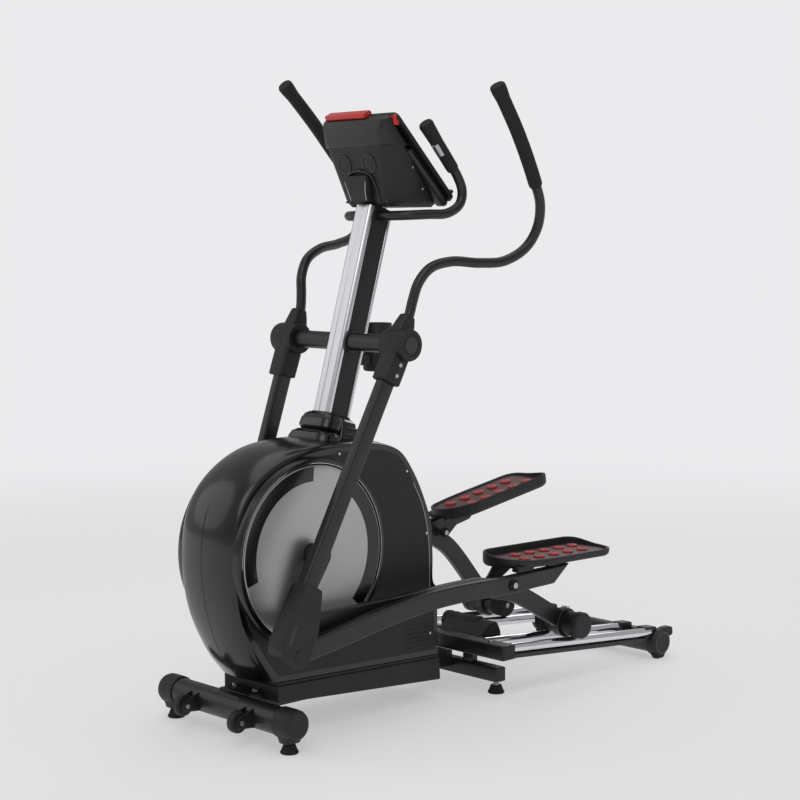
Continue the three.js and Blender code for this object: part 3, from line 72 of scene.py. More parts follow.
HUB = (190.0, 495.0)  # crank axle in (y, z)
THROW = 200.0  # crank axle to crank pin
CRANK_ANGLE = math.radians(29)  # the left crank arm at rest, from straight down
TO_JOINT = 758.0  # crank pin to the joint with the foot link
BEND = math.radians(9)  # of the pedal arm at that joint
ARM = 900.0  # lever pivot to the lower joint
LINK = 838.0  # lower joint to the joint with the pedal arm
PEDAL_AT = (842.0, 62.0)  # the pedal's frame on the foot link
PEDAL_TURN = math.radians(-5.5)
MAST_ORIGIN = (377.0, 880.0)
MAST_LEAN = math.radians(16)
RAIL_SLOPE = -0.08
RAIL_START = (894, 139)  # the rail tubes' axis at the front, in (y, z)
FRONT_AXIS, REAR_AXIS = (0, 79), (1565, 52)  # the stabilizer tubes
WHEEL_AXIS = (-72, 72)
GUIDE_AXIS = (942, 166)  # the barrel on the rail frame
PIVOT_AXIS = (420, 1066)  # the tube that the levers swing on
BOTTLE_AXIS = (0, 552)  # in (x, y)
SMOOTH_BELOW = math.radians(32)  # faces that meet at less are shaded as one


class Place:
    """A frame at (y, z), turned about X, with x mirrored where sign is -1."""

    def __init__(self, y=0.0, z=0.0, turn=0.0, sign=1):
        self.y, self.z, self.turn, self.sign = y, z, turn, sign

    def to(self, points):
        """Points of this frame, seen in the measuring frame."""
        p = np.asarray(points, float)
        c, s = math.cos(self.turn), math.sin(self.turn)
        out = np.empty_like(p)
        out[..., 0] = p[..., 0] * self.sign
        out[..., 1] = self.y + p[..., 1] * c - p[..., 2] * s
        out[..., 2] = self.z + p[..., 1] * s + p[..., 2] * c
        return out

    def inner(self, s, t, turn=0.0):
        """A frame at (s, t) of this one, turned on from it."""
        y, z = self.to((0.0, s, t))[1:]
        return Place(y, z, self.turn + turn, self.sign)


WORLD = Place()
MAST = Place(*MAST_ORIGIN, -MAST_LEAN)


def hinge(name):
    """A hinge's (y, z) in millimetres, y counted from the front feet."""
    _, y, z = JOINT[name]["pos_m"]
    return (y - Y_SHIFT) * 1000, z * 1000


def linkage(side, sign):
    """The frames of crank, swing arm, foot link, pedal arm, pedal and roller at rest."""
    angle = CRANK_ANGLE + (0 if sign > 0 else math.pi)
    pin = (HUB[0] - THROW * math.sin(angle), HUB[1] - THROW * math.cos(angle))
    pivot, low = hinge(side + "_arm_swing"), hinge(side + "_link_hinge")
    roller = hinge(side + "_pedal_arm_hinge")
    lean = math.atan2(pivot[0] - low[0], pivot[1] - low[1])
    pitch = math.atan2(roller[1] - pin[1], roller[0] - pin[0])
    joint = (
        pin[0] + TO_JOINT * math.cos(pitch + BEND),
        pin[1] + TO_JOINT * math.sin(pitch + BEND),
    )
    link = Place(*low, math.atan2(joint[1] - low[1], joint[0] - low[0]), sign)
    return {
        "crank": Place(*HUB, -angle, sign),
        "arm": Place(*pivot, -lean, sign),
        "link": link,
        "pedal": link.inner(*PEDAL_AT, PEDAL_TURN),
        "pedal_arm": Place(*roller, pitch, sign),
        "roller": Place(*roller, math.atan(RAIL_SLOPE), sign),
        "reach": math.hypot(roller[0] - pin[0], roller[1] - pin[1]),
    }


REST = {side: linkage(side, sign) for side, sign in SIDES}

# ---------------------------------------------------------------- shapes


def smooth(points, count):
    """Points evenly spaced along a centripetal Catmull-Rom curve through the given ones."""
    p = np.asarray(points, float)
    p = np.vstack([2 * p[0] - p[1], p, 2 * p[-1] - p[-2]])
    knots = np.concatenate([[0], np.cumsum(np.sqrt(np.linalg.norm(np.diff(p, axis=0), axis=1)))])
    out = []
    for i in range(1, len(p) - 2):
        k0, k1, k2, k3 = knots[i - 1 : i + 3]
        for k in np.linspace(k1, k2, 24, endpoint=False):
            a1 = (p[i - 1] * (k1 - k) + p[i] * (k - k0)) / (k1 - k0)
            a2 = (p[i] * (k2 - k) + p[i + 1] * (k - k1)) / (k2 - k1)
            a3 = (p[i + 1] * (k3 - k) + p[i + 2] * (k - k2)) / (k3 - k2)
            b1 = (a1 * (k2 - k) + a2 * (k - k0)) / (k2 - k0)
            b2 = (a2 * (k3 - k) + a3 * (k - k1)) / (k3 - k1)
            out.append((b1 * (k2 - k) + b2 * (k - k1)) / (k2 - k1))
    out.append(p[-2])
    out = np.array(out)
    length = np.concatenate([[0], np.cumsum(np.linalg.norm(np.diff(out, axis=0), axis=1))])
    at = np.linspace(0, length[-1], count)
    return np.stack([np.interp(at, length, out[:, k]) for k in range(out.shape[1])], axis=1)


def rounded(a0, a1, b0, b1, radius, steps=5):
    """A rectangle with round corners, as points going round it."""
    corners = ((a1, b0, -90), (a1, b1, 0), (a0, b1, 90), (a0, b0, 180))
    out = []
    for a, b, start in corners:
        ca = a - radius if a == a1 else a + radius
        cb = b - radius if b == b1 else b + radius
        for i in range(steps + 1):
            turn = math.radians(start + 90 * i / steps)
            out.append((ca + radius * math.cos(turn), cb + radius * math.sin(turn)))
    return np.array(out)


def rod(radius, low, high):
    """The profile of a plain cylinder."""
    return [(0, low), (radius, low), (radius, high), (0, high)]


def pipe(inner, outer, low, high):
    """The profile of a plain ring."""
    return [(inner, low), (outer, low), (outer, high), (inner, high), (inner, low)]


def softened(outline, radius, steps=4):
    """A polygon whose corners are replaced by short curves of about the given radius."""
    p = np.asarray(outline, float)
    out = []
    for i, at in enumerate(p):
        before, after = p[i - 1], p[(i + 1) % len(p)]
        cut = min(radius, 0.45 * np.linalg.norm(before - at), 0.45 * np.linalg.norm(after - at))
        start = at + (before - at) / np.linalg.norm(before - at) * cut
        end = at + (after - at) / np.linalg.norm(after - at) * cut
        for k in np.linspace(0, 1, steps + 1):
            out.append((1 - k) ** 2 * start + 2 * k * (1 - k) * at + k * k * end)
    return np.array(out)


def round_two(a, radius_a, b, radius_b, steps=24):
    """The outline of a band round two circles: both arcs and their outer tangents."""
    away = math.atan2(b[1] - a[1], b[0] - a[0])
    opening = math.acos((radius_a - radius_b) / math.hypot(b[0] - a[0], b[1] - a[1]))
    turns_a = away + opening + np.linspace(0, 2 * math.pi - 2 * opening, steps)
    turns_b = away - opening + np.linspace(0, 2 * opening, steps)
    at_a = np.stack([a[0] + radius_a * np.cos(turns_a), a[1] + radius_a * np.sin(turns_a)], 1)
    at_b = np.stack([b[0] + radius_b * np.cos(turns_b), b[1] + radius_b * np.sin(turns_b)], 1)
    return np.vstack([at_a, at_b])


def band(points, height, count=60):
    """The outline of a band of one height, or of a height for each point, along a curve."""
    line = smooth(points, count)
    along = np.gradient(line, axis=0)
    along /= np.linalg.norm(along, axis=1)[:, None]
    side = np.stack([-along[:, 1], along[:, 0]], 1)
    half = np.broadcast_to(np.asarray(height, float) / 2, (count,))[:, None]
    return np.vstack([line - side * half, (line + side * half)[::-1]])


def moved(outline, distance):
    """An outline moved inwards along its own corner normals."""
    p = np.asarray(outline, float)
    edge = np.roll(p, -1, 0) - p
    edge /= np.maximum(np.linalg.norm(edge, axis=1), 1e-9)[:, None]
    area = np.sum(p[:, 0] * np.roll(p[:, 1], -1) - np.roll(p[:, 0], -1) * p[:, 1])
    normal = np.stack([-edge[:, 1], edge[:, 0]], 1) * np.sign(area)
    both = normal + np.roll(normal, 1, 0)
    both /= np.maximum(np.linalg.norm(both, axis=1), 1e-9)[:, None]
    lean = np.maximum(np.sum(both * normal, axis=1), 0.5)[:, None]
    return p + both * distance / lean


class Body:
    """Closed shells, in millimetres, that are made one mesh object."""

    def __init__(self):
        self.points, self.faces, self.marks, self.names, self.even = [], [], [], [], []

    def rings(self, rings, place=WORLD, material="satin", wrap=False):
        """Joins rings of points side to side; open ends are closed with one flat face each."""
        r = place.to(np.asarray(rings, float))
        n, m = r.shape[:2]
        start = sum(len(p) for p in self.points)
        index = np.arange(n * m).reshape(n, m)
        upper = np.roll(index, -1, 0) if wrap else index[1:]
        lower = index if wrap else index[:-1]
        quads = np.stack([lower, np.roll(lower, -1, 1), np.roll(upper, -1, 1), upper], -1)
        faces = [list(q) for q in quads.reshape(-1, 4)]
        self.even += [True] * len(faces)
        if not wrap:
            faces += [list(index[0][::-1]), list(index[-1])]
            self.even += [False, False]
        flat = r.reshape(-1, 3)
        middle = flat.mean(0)
        volume = 0.0
        for face in faces:
            a = flat[face[0]] - middle
            for b, c in zip(face[1:-1], face[2:]):
                volume += np.dot(a, np.cross(flat[b] - middle, flat[c] - middle))
        if volume < 0:
            faces = [f[::-1] for f in faces]
        if material not in self.names:
            self.names.append(material)
        self.points.append(flat)
        self.faces += [[start + i for i in f] for f in faces]
        self.marks += [self.names.index(material)] * len(faces)
        return self

    def prism(self, outline, low, high, place=WORLD, material="satin", edge=2.0, axis="x"):
        """An outline pushed along an axis, its rims rounded by a quarter circle."""
        steps = np.linspace(0, math.pi / 2, 4)
        levels = [(low + edge * (1 - math.cos(a)), edge * (1 - math.sin(a))) for a in steps]
        levels += [(high - edge * (1 - math.cos(a)), edge * (1 - math.sin(a))) for a in steps[::-1]]
        rings = []
        for at, inset in levels:
            p = moved(outline, inset)
            along = np.full(len(p), at)
            order = (along, p[:, 0], p[:, 1]) if axis == "x" else (p[:, 0], p[:, 1], along)
            rings.append(np.stack(order, 1))
        return self.rings(rings, place, material)

    def turned(self, profile, place=WORLD, material="satin", centre=(0, 0), sides=64, axis="x"):
        """A profile of (radius, along) turned about x or t; closed, it is a ring."""
        p = np.asarray(profile, float)
        wrap = bool(np.allclose(p[0], p[-1]))
        p = p[:-1] if wrap else p[p[:, 0] > 0]
        turn = np.linspace(0, 2 * math.pi, sides, endpoint=False)
        rings = []
        for radius, along in p:
            u, v = radius * np.cos(turn), radius * np.sin(turn)
            at = np.full(sides, along)
            if axis == "x":
                rings.append(np.stack([at, centre[0] + u, centre[1] + v], 1))
            else:
                rings.append(np.stack([centre[0] + u, centre[1] + v, at], 1))
        return self.rings(rings, place, material, wrap)

    def swept(self, path, radius, place=WORLD, material="satin", sides=32):
        """A round section carried along a path with a frame that never twists."""
        p = np.asarray(path, float)
        along = np.gradient(p, axis=0)
        along /= np.linalg.norm(along, axis=1)[:, None]
        normal = np.cross(along[0], (0.3, 0.5, 0.81))
        turn = np.linspace(0, 2 * math.pi, sides, endpoint=False)[:, None]
        radii = np.broadcast_to(np.asarray(radius, float), (len(p),))
        rings = []
        for at, direction, r in zip(p, along, radii):
            normal = normal - direction * np.dot(normal, direction)
            normal /= np.linalg.norm(normal)
            other = np.cross(direction, normal)
            rings.append(at + r * (np.cos(turn) * normal + np.sin(turn) * other))
        return self.rings(rings, place, material)

    def tower(self, levels, place=WORLD, material="satin", edge=2.0):
        """Rounded rectangles (t, x0, x1, s0, s1, corner) stacked along t, both ends softened."""
        first, last = levels[0], levels[-1]
        full = [(first[0], *first[1:], edge)] + [
            (first[0] + math.copysign(edge, last[0] - first[0]), *first[1:], 0.0)
        ]
        full += [(*level, 0.0) for level in levels[1:-1]]
        full += [(last[0] - math.copysign(edge, last[0] - first[0]), *last[1:], 0.0)]
        full += [(last[0], *last[1:], edge)]
        rings = []
        for t, x0, x1, s0, s1, corner, inset in full:
            p = moved(rounded(x0, x1, s0, s1, corner), inset)
            rings.append(np.column_stack([p, np.full(len(p), t)]))
        return self.rings(rings, place, material)

    def box(self, x, s, t, place=WORLD, material="satin", edge=2.0):
        """A block with rounded rims and corners."""
        return self.prism(rounded(*s, *t, max(edge, 0.5), 3), *x, place, material, edge)

    def hexagon(self, at, size, low, high, place=WORLD, material="zinc"):
        """A bolt head on x with a chamfered rim and a shallow socket ring."""
        turn = np.arange(6) * math.pi / 3
        p = np.stack([at[0] + size * np.cos(turn), at[1] + size * np.sin(turn)], 1)
        return self.prism(p, low, high, place, material, 0.8)

    def done(self, name, body, slot, *nodes):
        """Makes the object, smooth below SMOOTH_BELOW, in place of the CAD nodes."""
        points = np.vstack(self.points) / 1000
        points[:, 1] += Y_SHIFT
        mesh = bpy.data.meshes.new(name)
        mesh.from_pydata(points.tolist(), [], self.faces)
        for material in self.names:
            mesh.materials.append(MATERIALS[material]())
        mesh.polygons.foreach_set("material_index", self.marks)
        mesh.set_sharp_from_angle(angle=SMOOTH_BELOW)
        mesh.polygons.foreach_set("use_smooth", self.even)
        mesh.update()
        obj = bpy.data.objects.new(name, mesh)
        bpy.context.scene.collection.objects.link(obj)
        if nodes:
            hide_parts(*nodes)
        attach(obj, body)
        return obj


# ---------------------------------------------------------------- surfaces


def linear(value):
    """An sRGB hex colour as linear red, green, blue, alpha."""
    parts = [int(value[i : i + 2], 16) / 255 for i in (1, 3, 5)]
    return [c / 12.92 if c <= 0.04045 else ((c + 0.055) / 1.055) ** 2.4 for c in parts] + [1.0]


def node(tree, kind, inputs=(), **values):
    """Adds a shader node, sets its properties, and sets or links its inputs."""
    made = tree.nodes.new(kind)
    for key, value in values.items():
        setattr(made, key, value)
    for key, value in dict(inputs).items():
        if isinstance(value, bpy.types.NodeSocket):
            tree.links.new(value, made.inputs[key])
        else:
            made.inputs[key].default_value = value
    return made


CACHE = {}


def surface(
    name, colour, rough, metal=0.0, grain=(900, 0.05), spread=0.06, coat=0.0, stretch=(1, 1, 1)
):
    """A principled surface whose roughness drifts slowly and whose grain is a fine bump.

    grain is the bump's scale per metre and its strength. stretch draws the grain out along an axis.
    """
    if name in CACHE:
        return CACHE[name]
    made = bpy.data.materials.new(name)
    made.use_nodes = True
    tree = made.node_tree
    shader = tree.nodes["Principled BSDF"]
    at = node(tree, "ShaderNodeTexCoord").outputs["Object"]
    drawn = node(tree, "ShaderNodeMapping", {"Vector": at, "Scale": stretch}).outputs["Vector"]
    slow = node(tree, "ShaderNodeTexNoise", {"Vector": at, "Scale": 14.0, "Detail": 3.0})
    fine = node(
        tree, "ShaderNodeTexNoise", {"Vector": drawn, "Scale": float(grain[0]), "Detail": 2.0}
    )
    span = {"Value": slow.outputs["Fac"], "To Min": rough - spread, "To Max": rough + spread}
    roughness = node(tree, "ShaderNodeMapRange", span)
    bump = node(
        tree,
        "ShaderNodeBump",
        {"Height": fine.outputs["Fac"], "Strength": grain[1], "Distance": 0.0004},
    )
    shader.inputs["Base Color"].default_value = linear(colour)
    shader.inputs["Metallic"].default_value = metal
    shader.inputs["Coat Weight"].default_value = coat
    tree.links.new(roughness.outputs["Result"], shader.inputs["Roughness"])
    tree.links.new(bump.outputs["Normal"], shader.inputs["Normal"])
    CACHE[name] = made
    return made


def brushed_disc():
    """Aluminium turned on a lathe: fine rings round the hub catch the light as a bow-tie."""
    name = "circular brushed aluminium"
    if name in CACHE:
        return CACHE[name]
    made = bpy.data.materials.new(name)
    made.use_nodes = True
    tree = made.node_tree
    shader = tree.nodes["Principled BSDF"]
    at = node(tree, "ShaderNodeTexCoord").outputs["Object"]
    hub = (0.0, HUB[0] / 1000 + Y_SHIFT, HUB[1] / 1000)
    centred = node(tree, "ShaderNodeVectorMath", operation="SUBTRACT")
    tree.links.new(at, centred.inputs[0])
    centred.inputs[1].default_value = hub
    flat = node(tree, "ShaderNodeVectorMath", operation="MULTIPLY")
    tree.links.new(centred.outputs["Vector"], flat.inputs[0])
    flat.inputs[1].default_value = (0.0, 1.0, 1.0)
    radius = node(tree, "ShaderNodeVectorMath", operation="LENGTH")
    tree.links.new(flat.outputs["Vector"], radius.inputs[0])
    rings = node(
        tree,
        "ShaderNodeTexNoise",
        {"W": radius.outputs["Value"], "Scale": 900.0, "Detail": 2.0},
        noise_dimensions="1D",
    )
    slow = node(tree, "ShaderNodeTexNoise", {"Vector": at, "Scale": 9.0, "Detail": 2.0})
    rough = node(
        tree, "ShaderNodeMapRange", {"Value": slow.outputs["Fac"], "To Min": 0.36, "To Max": 0.46}
    )
    tone = node(
        tree, "ShaderNodeMapRange", {"Value": rings.outputs["Fac"], "To Min": 0.44, "To Max": 0.52}
    )
    bump = node(
        tree,
        "ShaderNodeBump",
        {"Height": rings.outputs["Fac"], "Strength": 0.12, "Distance": 0.0003},
    )
    shader.inputs["Metallic"].default_value = 0.85
    tree.links.new(tone.outputs["Result"], shader.inputs["Base Color"])
    tree.links.new(rough.outputs["Result"], shader.inputs["Roughness"])
    tree.links.new(bump.outputs["Normal"], shader.inputs["Normal"])
    CACHE[name] = made
    return made


def colours():
    """The settings that hold the look's colours and light."""
    return bpy.context.scene.trainer_look


def tinted(value):
    """A scene colour as a hex string for the surface function."""
    parts = [
        round(
            255 * (c * 12.92 if c <= 0.0031308 else 1.055 * c ** (1 / 2.4) - 0.055)
        ) for c in value
    ]
    return "#%02x%02x%02x" % tuple(parts[:3])


MATERIALS = {
    # Satin powder coat on steel: dark with a soft, slightly pebbled sheen.
    "satin": lambda: surface(
        "satin black powder coat", tinted(
            colours().frame_colour
        ), 0.42, 0.0, (1400, 0.12), coat=0.15
    ),
    # Fine-grained moulded plastic: broad dull highlights.
    "grained": lambda: surface(
        "grained black plastic", tinted(colours().plastic_colour), 0.55, 0.0, (1100, 0.3)
    ),
    # Glossy moulded plastic: crisp reflections that waver a little.
    "gloss": lambda: surface("gloss black plastic", "#09090a", 0.24, 0.0, (30, 0.04), 0.04, 0.3),
    # Moulded rubber: nearly no highlight.
    "rubber": lambda: surface("moulded rubber", "#101011", 0.82, 0.0, (700, 0.35)),
    # Closed-cell foam: soft and finely pitted.
    "foam": lambda: surface("foam grip", "#131315", 0.78, 0.0, (1500, 0.55)),
    # Red rubber studs: matt with a faint mottle.
    "studs": lambda: surface(
        "red stud rubber", tinted(colours().accent_colour), 0.5, 0.0, (500, 0.12)
    ),
    # Dark red rubber liner under the studs: a faint sheen.
    "liner": lambda: surface("dark red liner rubber", "#4b1618", 0.45, 0.0, (600, 0.15)),
    # Glossy red plastic edge.
    "red": lambda: surface("red gloss plastic", "#c2322d", 0.28, 0.0, (60, 0.03)),
    # Satin anodised extrusion: fine lines along its length.
    "anodised": lambda: surface(
        "anodised extrusion", "#dcdce0", 0.3, 0.9, (500, 0.1), 0.05, stretch=(1, 0.3, 0.03)
    ),
    # Polished chrome tube: mirror-like.
    "chrome": lambda: surface("polished chrome", "#e6e6ea", 0.09, 1.0, (60, 0.02), 0.03),
    # Zinc plated steel: small fasteners that glint.
    "zinc": lambda: surface("zinc plated steel", "#b9bbbd", 0.3, 1.0, (600, 0.08)),
    # Dull silver paint of labels and lines.
    "silver": lambda: surface("silver paint", "#b4b4b8", 0.4, 0.5, (900, 0.05)),
    # Turned cast iron: grey with a dull metallic sheen.
    "iron": lambda: surface("turned cast iron", "#55565a", 0.45, 0.9, (500, 0.25)),
    # Tinted display window.
    "screen": lambda: surface("display window", "#0b1014", 0.12, 0.0, (20, 0.01), 0.02, 0.6),
    # Pale printed keys.
    "key": lambda: surface("printed key", "#8d9096", 0.5, 0.0, (900, 0.05)),
    "disc": brushed_disc,
}


def paint(nodes, material):
    """Gives a procedural surface to CAD nodes that keep their own mesh."""
    for name in nodes:
        obj = frame["nodes"][name]
        obj.data.materials.clear()
        obj.data.materials.append(MATERIALS[material]())


# ---------------------------------------------------------------- base


def front_stabilizer():
    """A round tube, a saddle of two blocks, and two wheel brackets of paired ears."""
    b = Body()
    b.turned([(0, -222), (36, -222), (38, -220), (38, 220), (36, 222), (0, 222)], centre=FRONT_AXIS)
    b.box((-60, 60), (-20, 74.5), (88, 118), edge=3)
    b.box((-58, 58), (6, 70), (117, 120.5), edge=1.5)
    for side in (-1, 1):
        middle = side * 120
        for ear in (-1, 1):
            edge = middle + ear * 14
            x = (edge, edge + 4) if ear > 0 else (edge - 4, edge)
            b.prism(round_two(WHEEL_AXIS, 17, (-8, 79), 30), *x, edge=1)
            b.hexagon(WHEEL_AXIS, 7, *((x[1], x[1] + 5) if ear > 0 else (x[0] - 5, x[0])))
        b.turned(rod(5, middle - 20, middle + 20), centre=WHEEL_AXIS, material="zinc", sides=24)
        b.turned(
            [(0, 120), (9, 120), (9, 124), (6, 127), (0, 127)], centre=(side * 44, 52),
            material="zinc", sides=24, axis="t",
        )
    b.done("front_stabilizer_skin", "frame", "black_paint", "front_stabilizer")


def front_caps():
    """A turned cap over each tube end, on a rounded foot that widens upwards."""
    for side, sign in SIDES:
        place = Place(sign=sign)
        b = Body()
        profile = [
            (0, 222.4), (40, 222.4), (42.4, 225), (42.6, 262), (42, 276), (39, 284), (33, 288),
            (0, 288),
        ]
        b.turned(profile, place, "grained", FRONT_AXIS)
        b.turned([(0, 287.5), (24, 287.5), (22, 288.2), (0, 288.2)], place, "grained", FRONT_AXIS)
        levels = [
            (29, 231, 272, -26, 26, 12), (44, 228, 276, -29, 29, 14), (79, 226, 280, -34, 34, 16)
        ]
        b.tower(levels, place, "grained")
        b.done("front_cap_skin_" + side, "frame", "matte_black", "front_cap_" + side)


def levelling_feet():
    """A turned rubber pad, a round threaded stem and a six-sided nut at each foot."""
    profile = [(0, 0), (23, 0), (25, 2), (25, 6), (22, 9), (18, 20), (16.5, 24), (0, 24)]
    for side, sign in SIDES:
        for where, x, y in (("front", 250, 0), ("middle", 195, 856)):
            b = Body()
            b.turned(profile, Place(sign=sign), "rubber", (x, y), 48, "t")
            stem = rod(5, 23, 58)
            b.turned(stem, Place(sign=sign), "zinc", (x, y), 24, "t")
            turn = np.arange(6) * math.pi / 3
            nut = np.stack([x + 11 * np.cos(turn), y + 11 * np.sin(turn)], 1)
            b.prism(nut, 24, 29, Place(sign=sign), "zinc", 0.8, "t")
            name = "levelling_foot_%s_%s" % (where, side)
            b.done(name + "_skin", "foot_%s_%s" % (where, side), "rubber", name)


def transport_wheels():
    """A turned tyre with a thin ring proud of both its faces."""
    for side, sign in SIDES:
        b = Body()
        tyre = [
            (5.8, 109), (24, 109), (28, 110), (30, 113), (30, 127), (28, 130), (24, 131),
            (5.8, 131), (5.8, 109),
        ]
        b.turned(tyre, Place(sign=sign), "grained", WHEEL_AXIS, 64)
        b.turned(pipe(10, 14, 108, 132), Place(sign=sign), "grained", WHEEL_AXIS, 48)
        name = "transport_wheel_" + side
        b.done(name + "_skin", name, "matte_black", name)


def base_beams():
    """The main beam keeps its CAD mesh; the cross-beam is a rounded box with end plugs."""
    paint(["base_frame"], "satin")
    b = Body()
    b.box((-215, 215), (836, 876), (36, 80), edge=4)
    for side in (-1, 1):
        b.box(
            (min(side * 216, side * 213.5), max(side * 216, side * 213.5)), (838, 874), (38, 78),
            material="grained", edge=1,
        )
    b.done("middle_stabilizer_skin", "frame", "black_paint", "middle_stabilizer")


def base_skirt():
    """Two tapering slabs, one on the other, whose top edge falls in a straight line to the rear."""
    b = Body()
    top = lambda y: 151 - (y - 70) * 20 / 628
    lower = [(70, 94), (698, 54), (694, top(698) - 8), (70, top(70) - 8)]
    upper = [(71, top(70) - 9), (693, top(693) - 9), (690, top(698)), (71, top(70))]
    b.prism(softened(lower, 6), -118, 118, material="grained", edge=4)
    b.prism(softened(upper, 3), -114, 114, material="grained", edge=1.5)
    for side in (-1, 1):
        x = (116.4, 118.6) if side > 0 else (-118.6, -116.4)
        line = [
            (90, top(90) - 30), (680, top(680) - 30), (680, top(680) - 31.6), (90, top(90) - 31.6)
        ]
        b.prism(np.array(line), *x, material="gloss", edge=0.3)
    b.done("base_skirt_skin", "frame", "matte_black", "base_skirt")


# ---------------------------------------------------------------- rails


def rail_z(y):
    """Height of the rail tubes' axis at y: a straight line."""
    return RAIL_START[1] + RAIL_SLOPE * (y - RAIL_START[0])


def along_rail(x0, x1, low, high, y0, y1):
    """A four-cornered outline that follows the rail's slope, and the two x it runs between."""
    return np.array(
        [
            (y0, rail_z(y0) + low), (y1, rail_z(y1) + low), (y1, rail_z(y1) + high),
            (y0, rail_z(y0) + high),
        ]
    ), x0, x1


def rail_frame():
    """Rounded boxes, sloping bars under the outer rails, and a ribbed barrel behind a cover."""
    b = Body()
    b.box((-262, 262), (814, 868), (112, 156), edge=4)
    for side in (-1, 1):
        x = sorted((side * 262, side * 264))
        b.box(x, (817, 865), (115, 153), material="grained", edge=0.9)
        b.box(sorted((side * 70, side * 110)), (840, 864), (80.4, 113), edge=2)
        outline, x0, x1 = along_rail(side * 240 - 13, side * 240 + 13, -29.4, -15.4, 860, 1501)
        b.prism(outline, x0, x1, edge=2.5)
        b.turned(
            [(0, 156), (9, 156), (8, 161), (0, 161)], material="zinc", centre=(side * 185, 841),
            sides=6, axis="t",
        )
    barrel = [(0, -100), (25, -100), (29, -96), (29, 46), (25, 50), (0, 50)]
    b.turned(barrel, centre=GUIDE_AXIS, material="grained")
    for x in (-86, -60, 10, 36):
        b.turned(
            [(29, x), (30.4, x + 1), (30.4, x + 5), (29, x + 6), (27, x + 3), (29, x)],
            centre=GUIDE_AXIS, material="grained",
        )
    cover = [(867, 118), (971, 126), (968, 158), (950, 191), (922, 185), (867, 152)]
    b.prism(softened(cover, 10), -70, 110, material="grained", edge=5)
    b.done("rail_frame_skin", "frame", "black_paint", "rail_frame")


def rail_tubes():
    """Round tubes carried along straight lines that fall to the rear."""
    for side, sign in SIDES:
        for where, x in (("outer", 240), ("inner", 130)):
            path = np.linspace((x, 869.7, rail_z(869.7)), (x, 1525.8, rail_z(1525.8)), 8)
            b = Body().swept(path, 15, Place(sign=sign), "chrome", 48)
            name = "rail_tube_%s_%s" % (where, side)
            b.done(name + "_skin", "frame", "chrome", name)


def rear_stabilizer():
    """A round tube with turned caps on rounded feet, and a clamp block for each rail."""
    b = Body()
    b.turned(rod(37, -232, 232), centre=REAR_AXIS)
    for _, sign in SIDES:
        place = Place(sign=sign)
        cap = [(0, 229), (41, 229), (43, 232), (43.4, 252), (42, 264), (38, 269), (0, 270)]
        b.turned(cap, place, "grained", REAR_AXIS)
        b.turned(
            [(30, 268.4), (30, 269.8), (36, 269.4), (36, 268), (30, 268.4)], place, "gloss",
            REAR_AXIS,
        )
        b.tower([(0, 240, 262, 1545, 1585, 8), (16, 238, 264, 1536, 1594, 10)], place, "rubber")
        step = [(1580, 62), (1622, 68), (1626, 74), (1624, 96), (1606, 98), (1575, 96)]
        b.prism(softened(step, 8), 236, 264, place, "grained", 4)
        for x, reach in ((230, 22), (130, 20)):
            y0, y1 = 1502, 1556
            outline, x0, x1 = along_rail(x - reach, x + reach, -22, 18, y0, y1)
            b.prism(softened(outline, 6), x0, x1, place, "satin", 4)
    b.done("rear_stabilizer_skin", "frame", "black_paint", "rear_stabilizer")


# ---------------------------------------------------------------- shroud and collar

SIDE_LINE = [
    (72, 153), (14, 228), (-42, 322), (-66, 415), (-71, 500), (-60, 590), (-20, 668),
    (52, 727), (150, 764), (266, 778), (380, 780), (470, 773), (536, 748), (586, 688),
    (630, 606), (658, 528), (666, 430), (668, 352), (682, 332), (686, 240), (688, 133),
]
MIDDLE_LINE = [
    (26, 155), (-26, 218), (-66, 308), (-90, 405), (-96, 500), (-86, 594), (-48, 680),
    (14, 742), (96, 786), (200, 802), (330, 800), (450, 788), (532, 758), (588, 692),
    (634, 606), (662, 528), (669, 430), (671, 352), (683, 332), (687, 240), (688, 133),
]
SHROUD_HALF = 115


def shrouds():
    """Each half swells from the flat side line to the middle line by a quarter ellipse."""
    side_line, middle_line = smooth(SIDE_LINE, 150), smooth(MIDDLE_LINE, 150)
    for side, sign in SIDES:
        place = Place(sign=sign)
        b = Body()
        rings = [np.column_stack([np.full(150, 0.4), moved(middle_line, 1.2)])]
        for turn in np.radians(np.linspace(0.9, 90, 22)):
            share = 1 - math.cos(turn)
            outline = middle_line * (1 - share) + side_line * share
            rings.append(np.column_stack([np.full(150, SHROUD_HALF * math.sin(turn)), outline]))
        b.rings(rings, place, "gloss")
        panel = moved(side_line, 15)
        b.prism(panel, SHROUD_HALF - 3, SHROUD_HALF + 1.6, place, "grained", 1.4)
        ring = [
            (250, 112), (250, 133), (252, 135.4), (255, 136), (261, 135.4), (265, 132),
            (266.5, 126), (267.5, 112), (250, 112),
        ]
        b.turned(ring, place, "gloss", HUB, 160)
        # Painted highlight: a thin chrome line on the bezel's inner lip, standing for the thin
        # highlight that the black gloss ring catches there.
        radius, x = 251.6, 134.9
        painted_highlight_ring = [
            (radius - 0.6, x - 1.5), (radius - 0.6, x + 0.4), (radius + 0.6, x + 0.4),
            (radius + 0.6, x - 1.5), (radius - 0.6, x - 1.5),
        ]
        b.turned(painted_highlight_ring, place, "chrome", HUB, 160)
        b.turned(
            [(20, 110), (20, 117.5), (249, 118), (249, 110), (20, 110)], place, "grained", HUB, 96
        )
        for y, z in ((16, 330), (60, 690), (300, 762), (560, 690), (640, 500), (655, 200)):
            screw_recess(b, y, z, place)
        arc = smooth([(585, 655), (622, 585), (645, 500), (652, 400), (652, 330)], 40)
        b.swept(np.column_stack([np.full(40, SHROUD_HALF + 1.6), arc]), 1.1, place, "silver", 10)
        for i in range(6):
            z = 165 + i * 13
            b.box((SHROUD_HALF, SHROUD_HALF + 2.8), (560, 668), (z, z + 5), place, "grained", 1)
        b.done("shroud_skin_" + side, "frame", "gloss_black", "shroud_" + side)


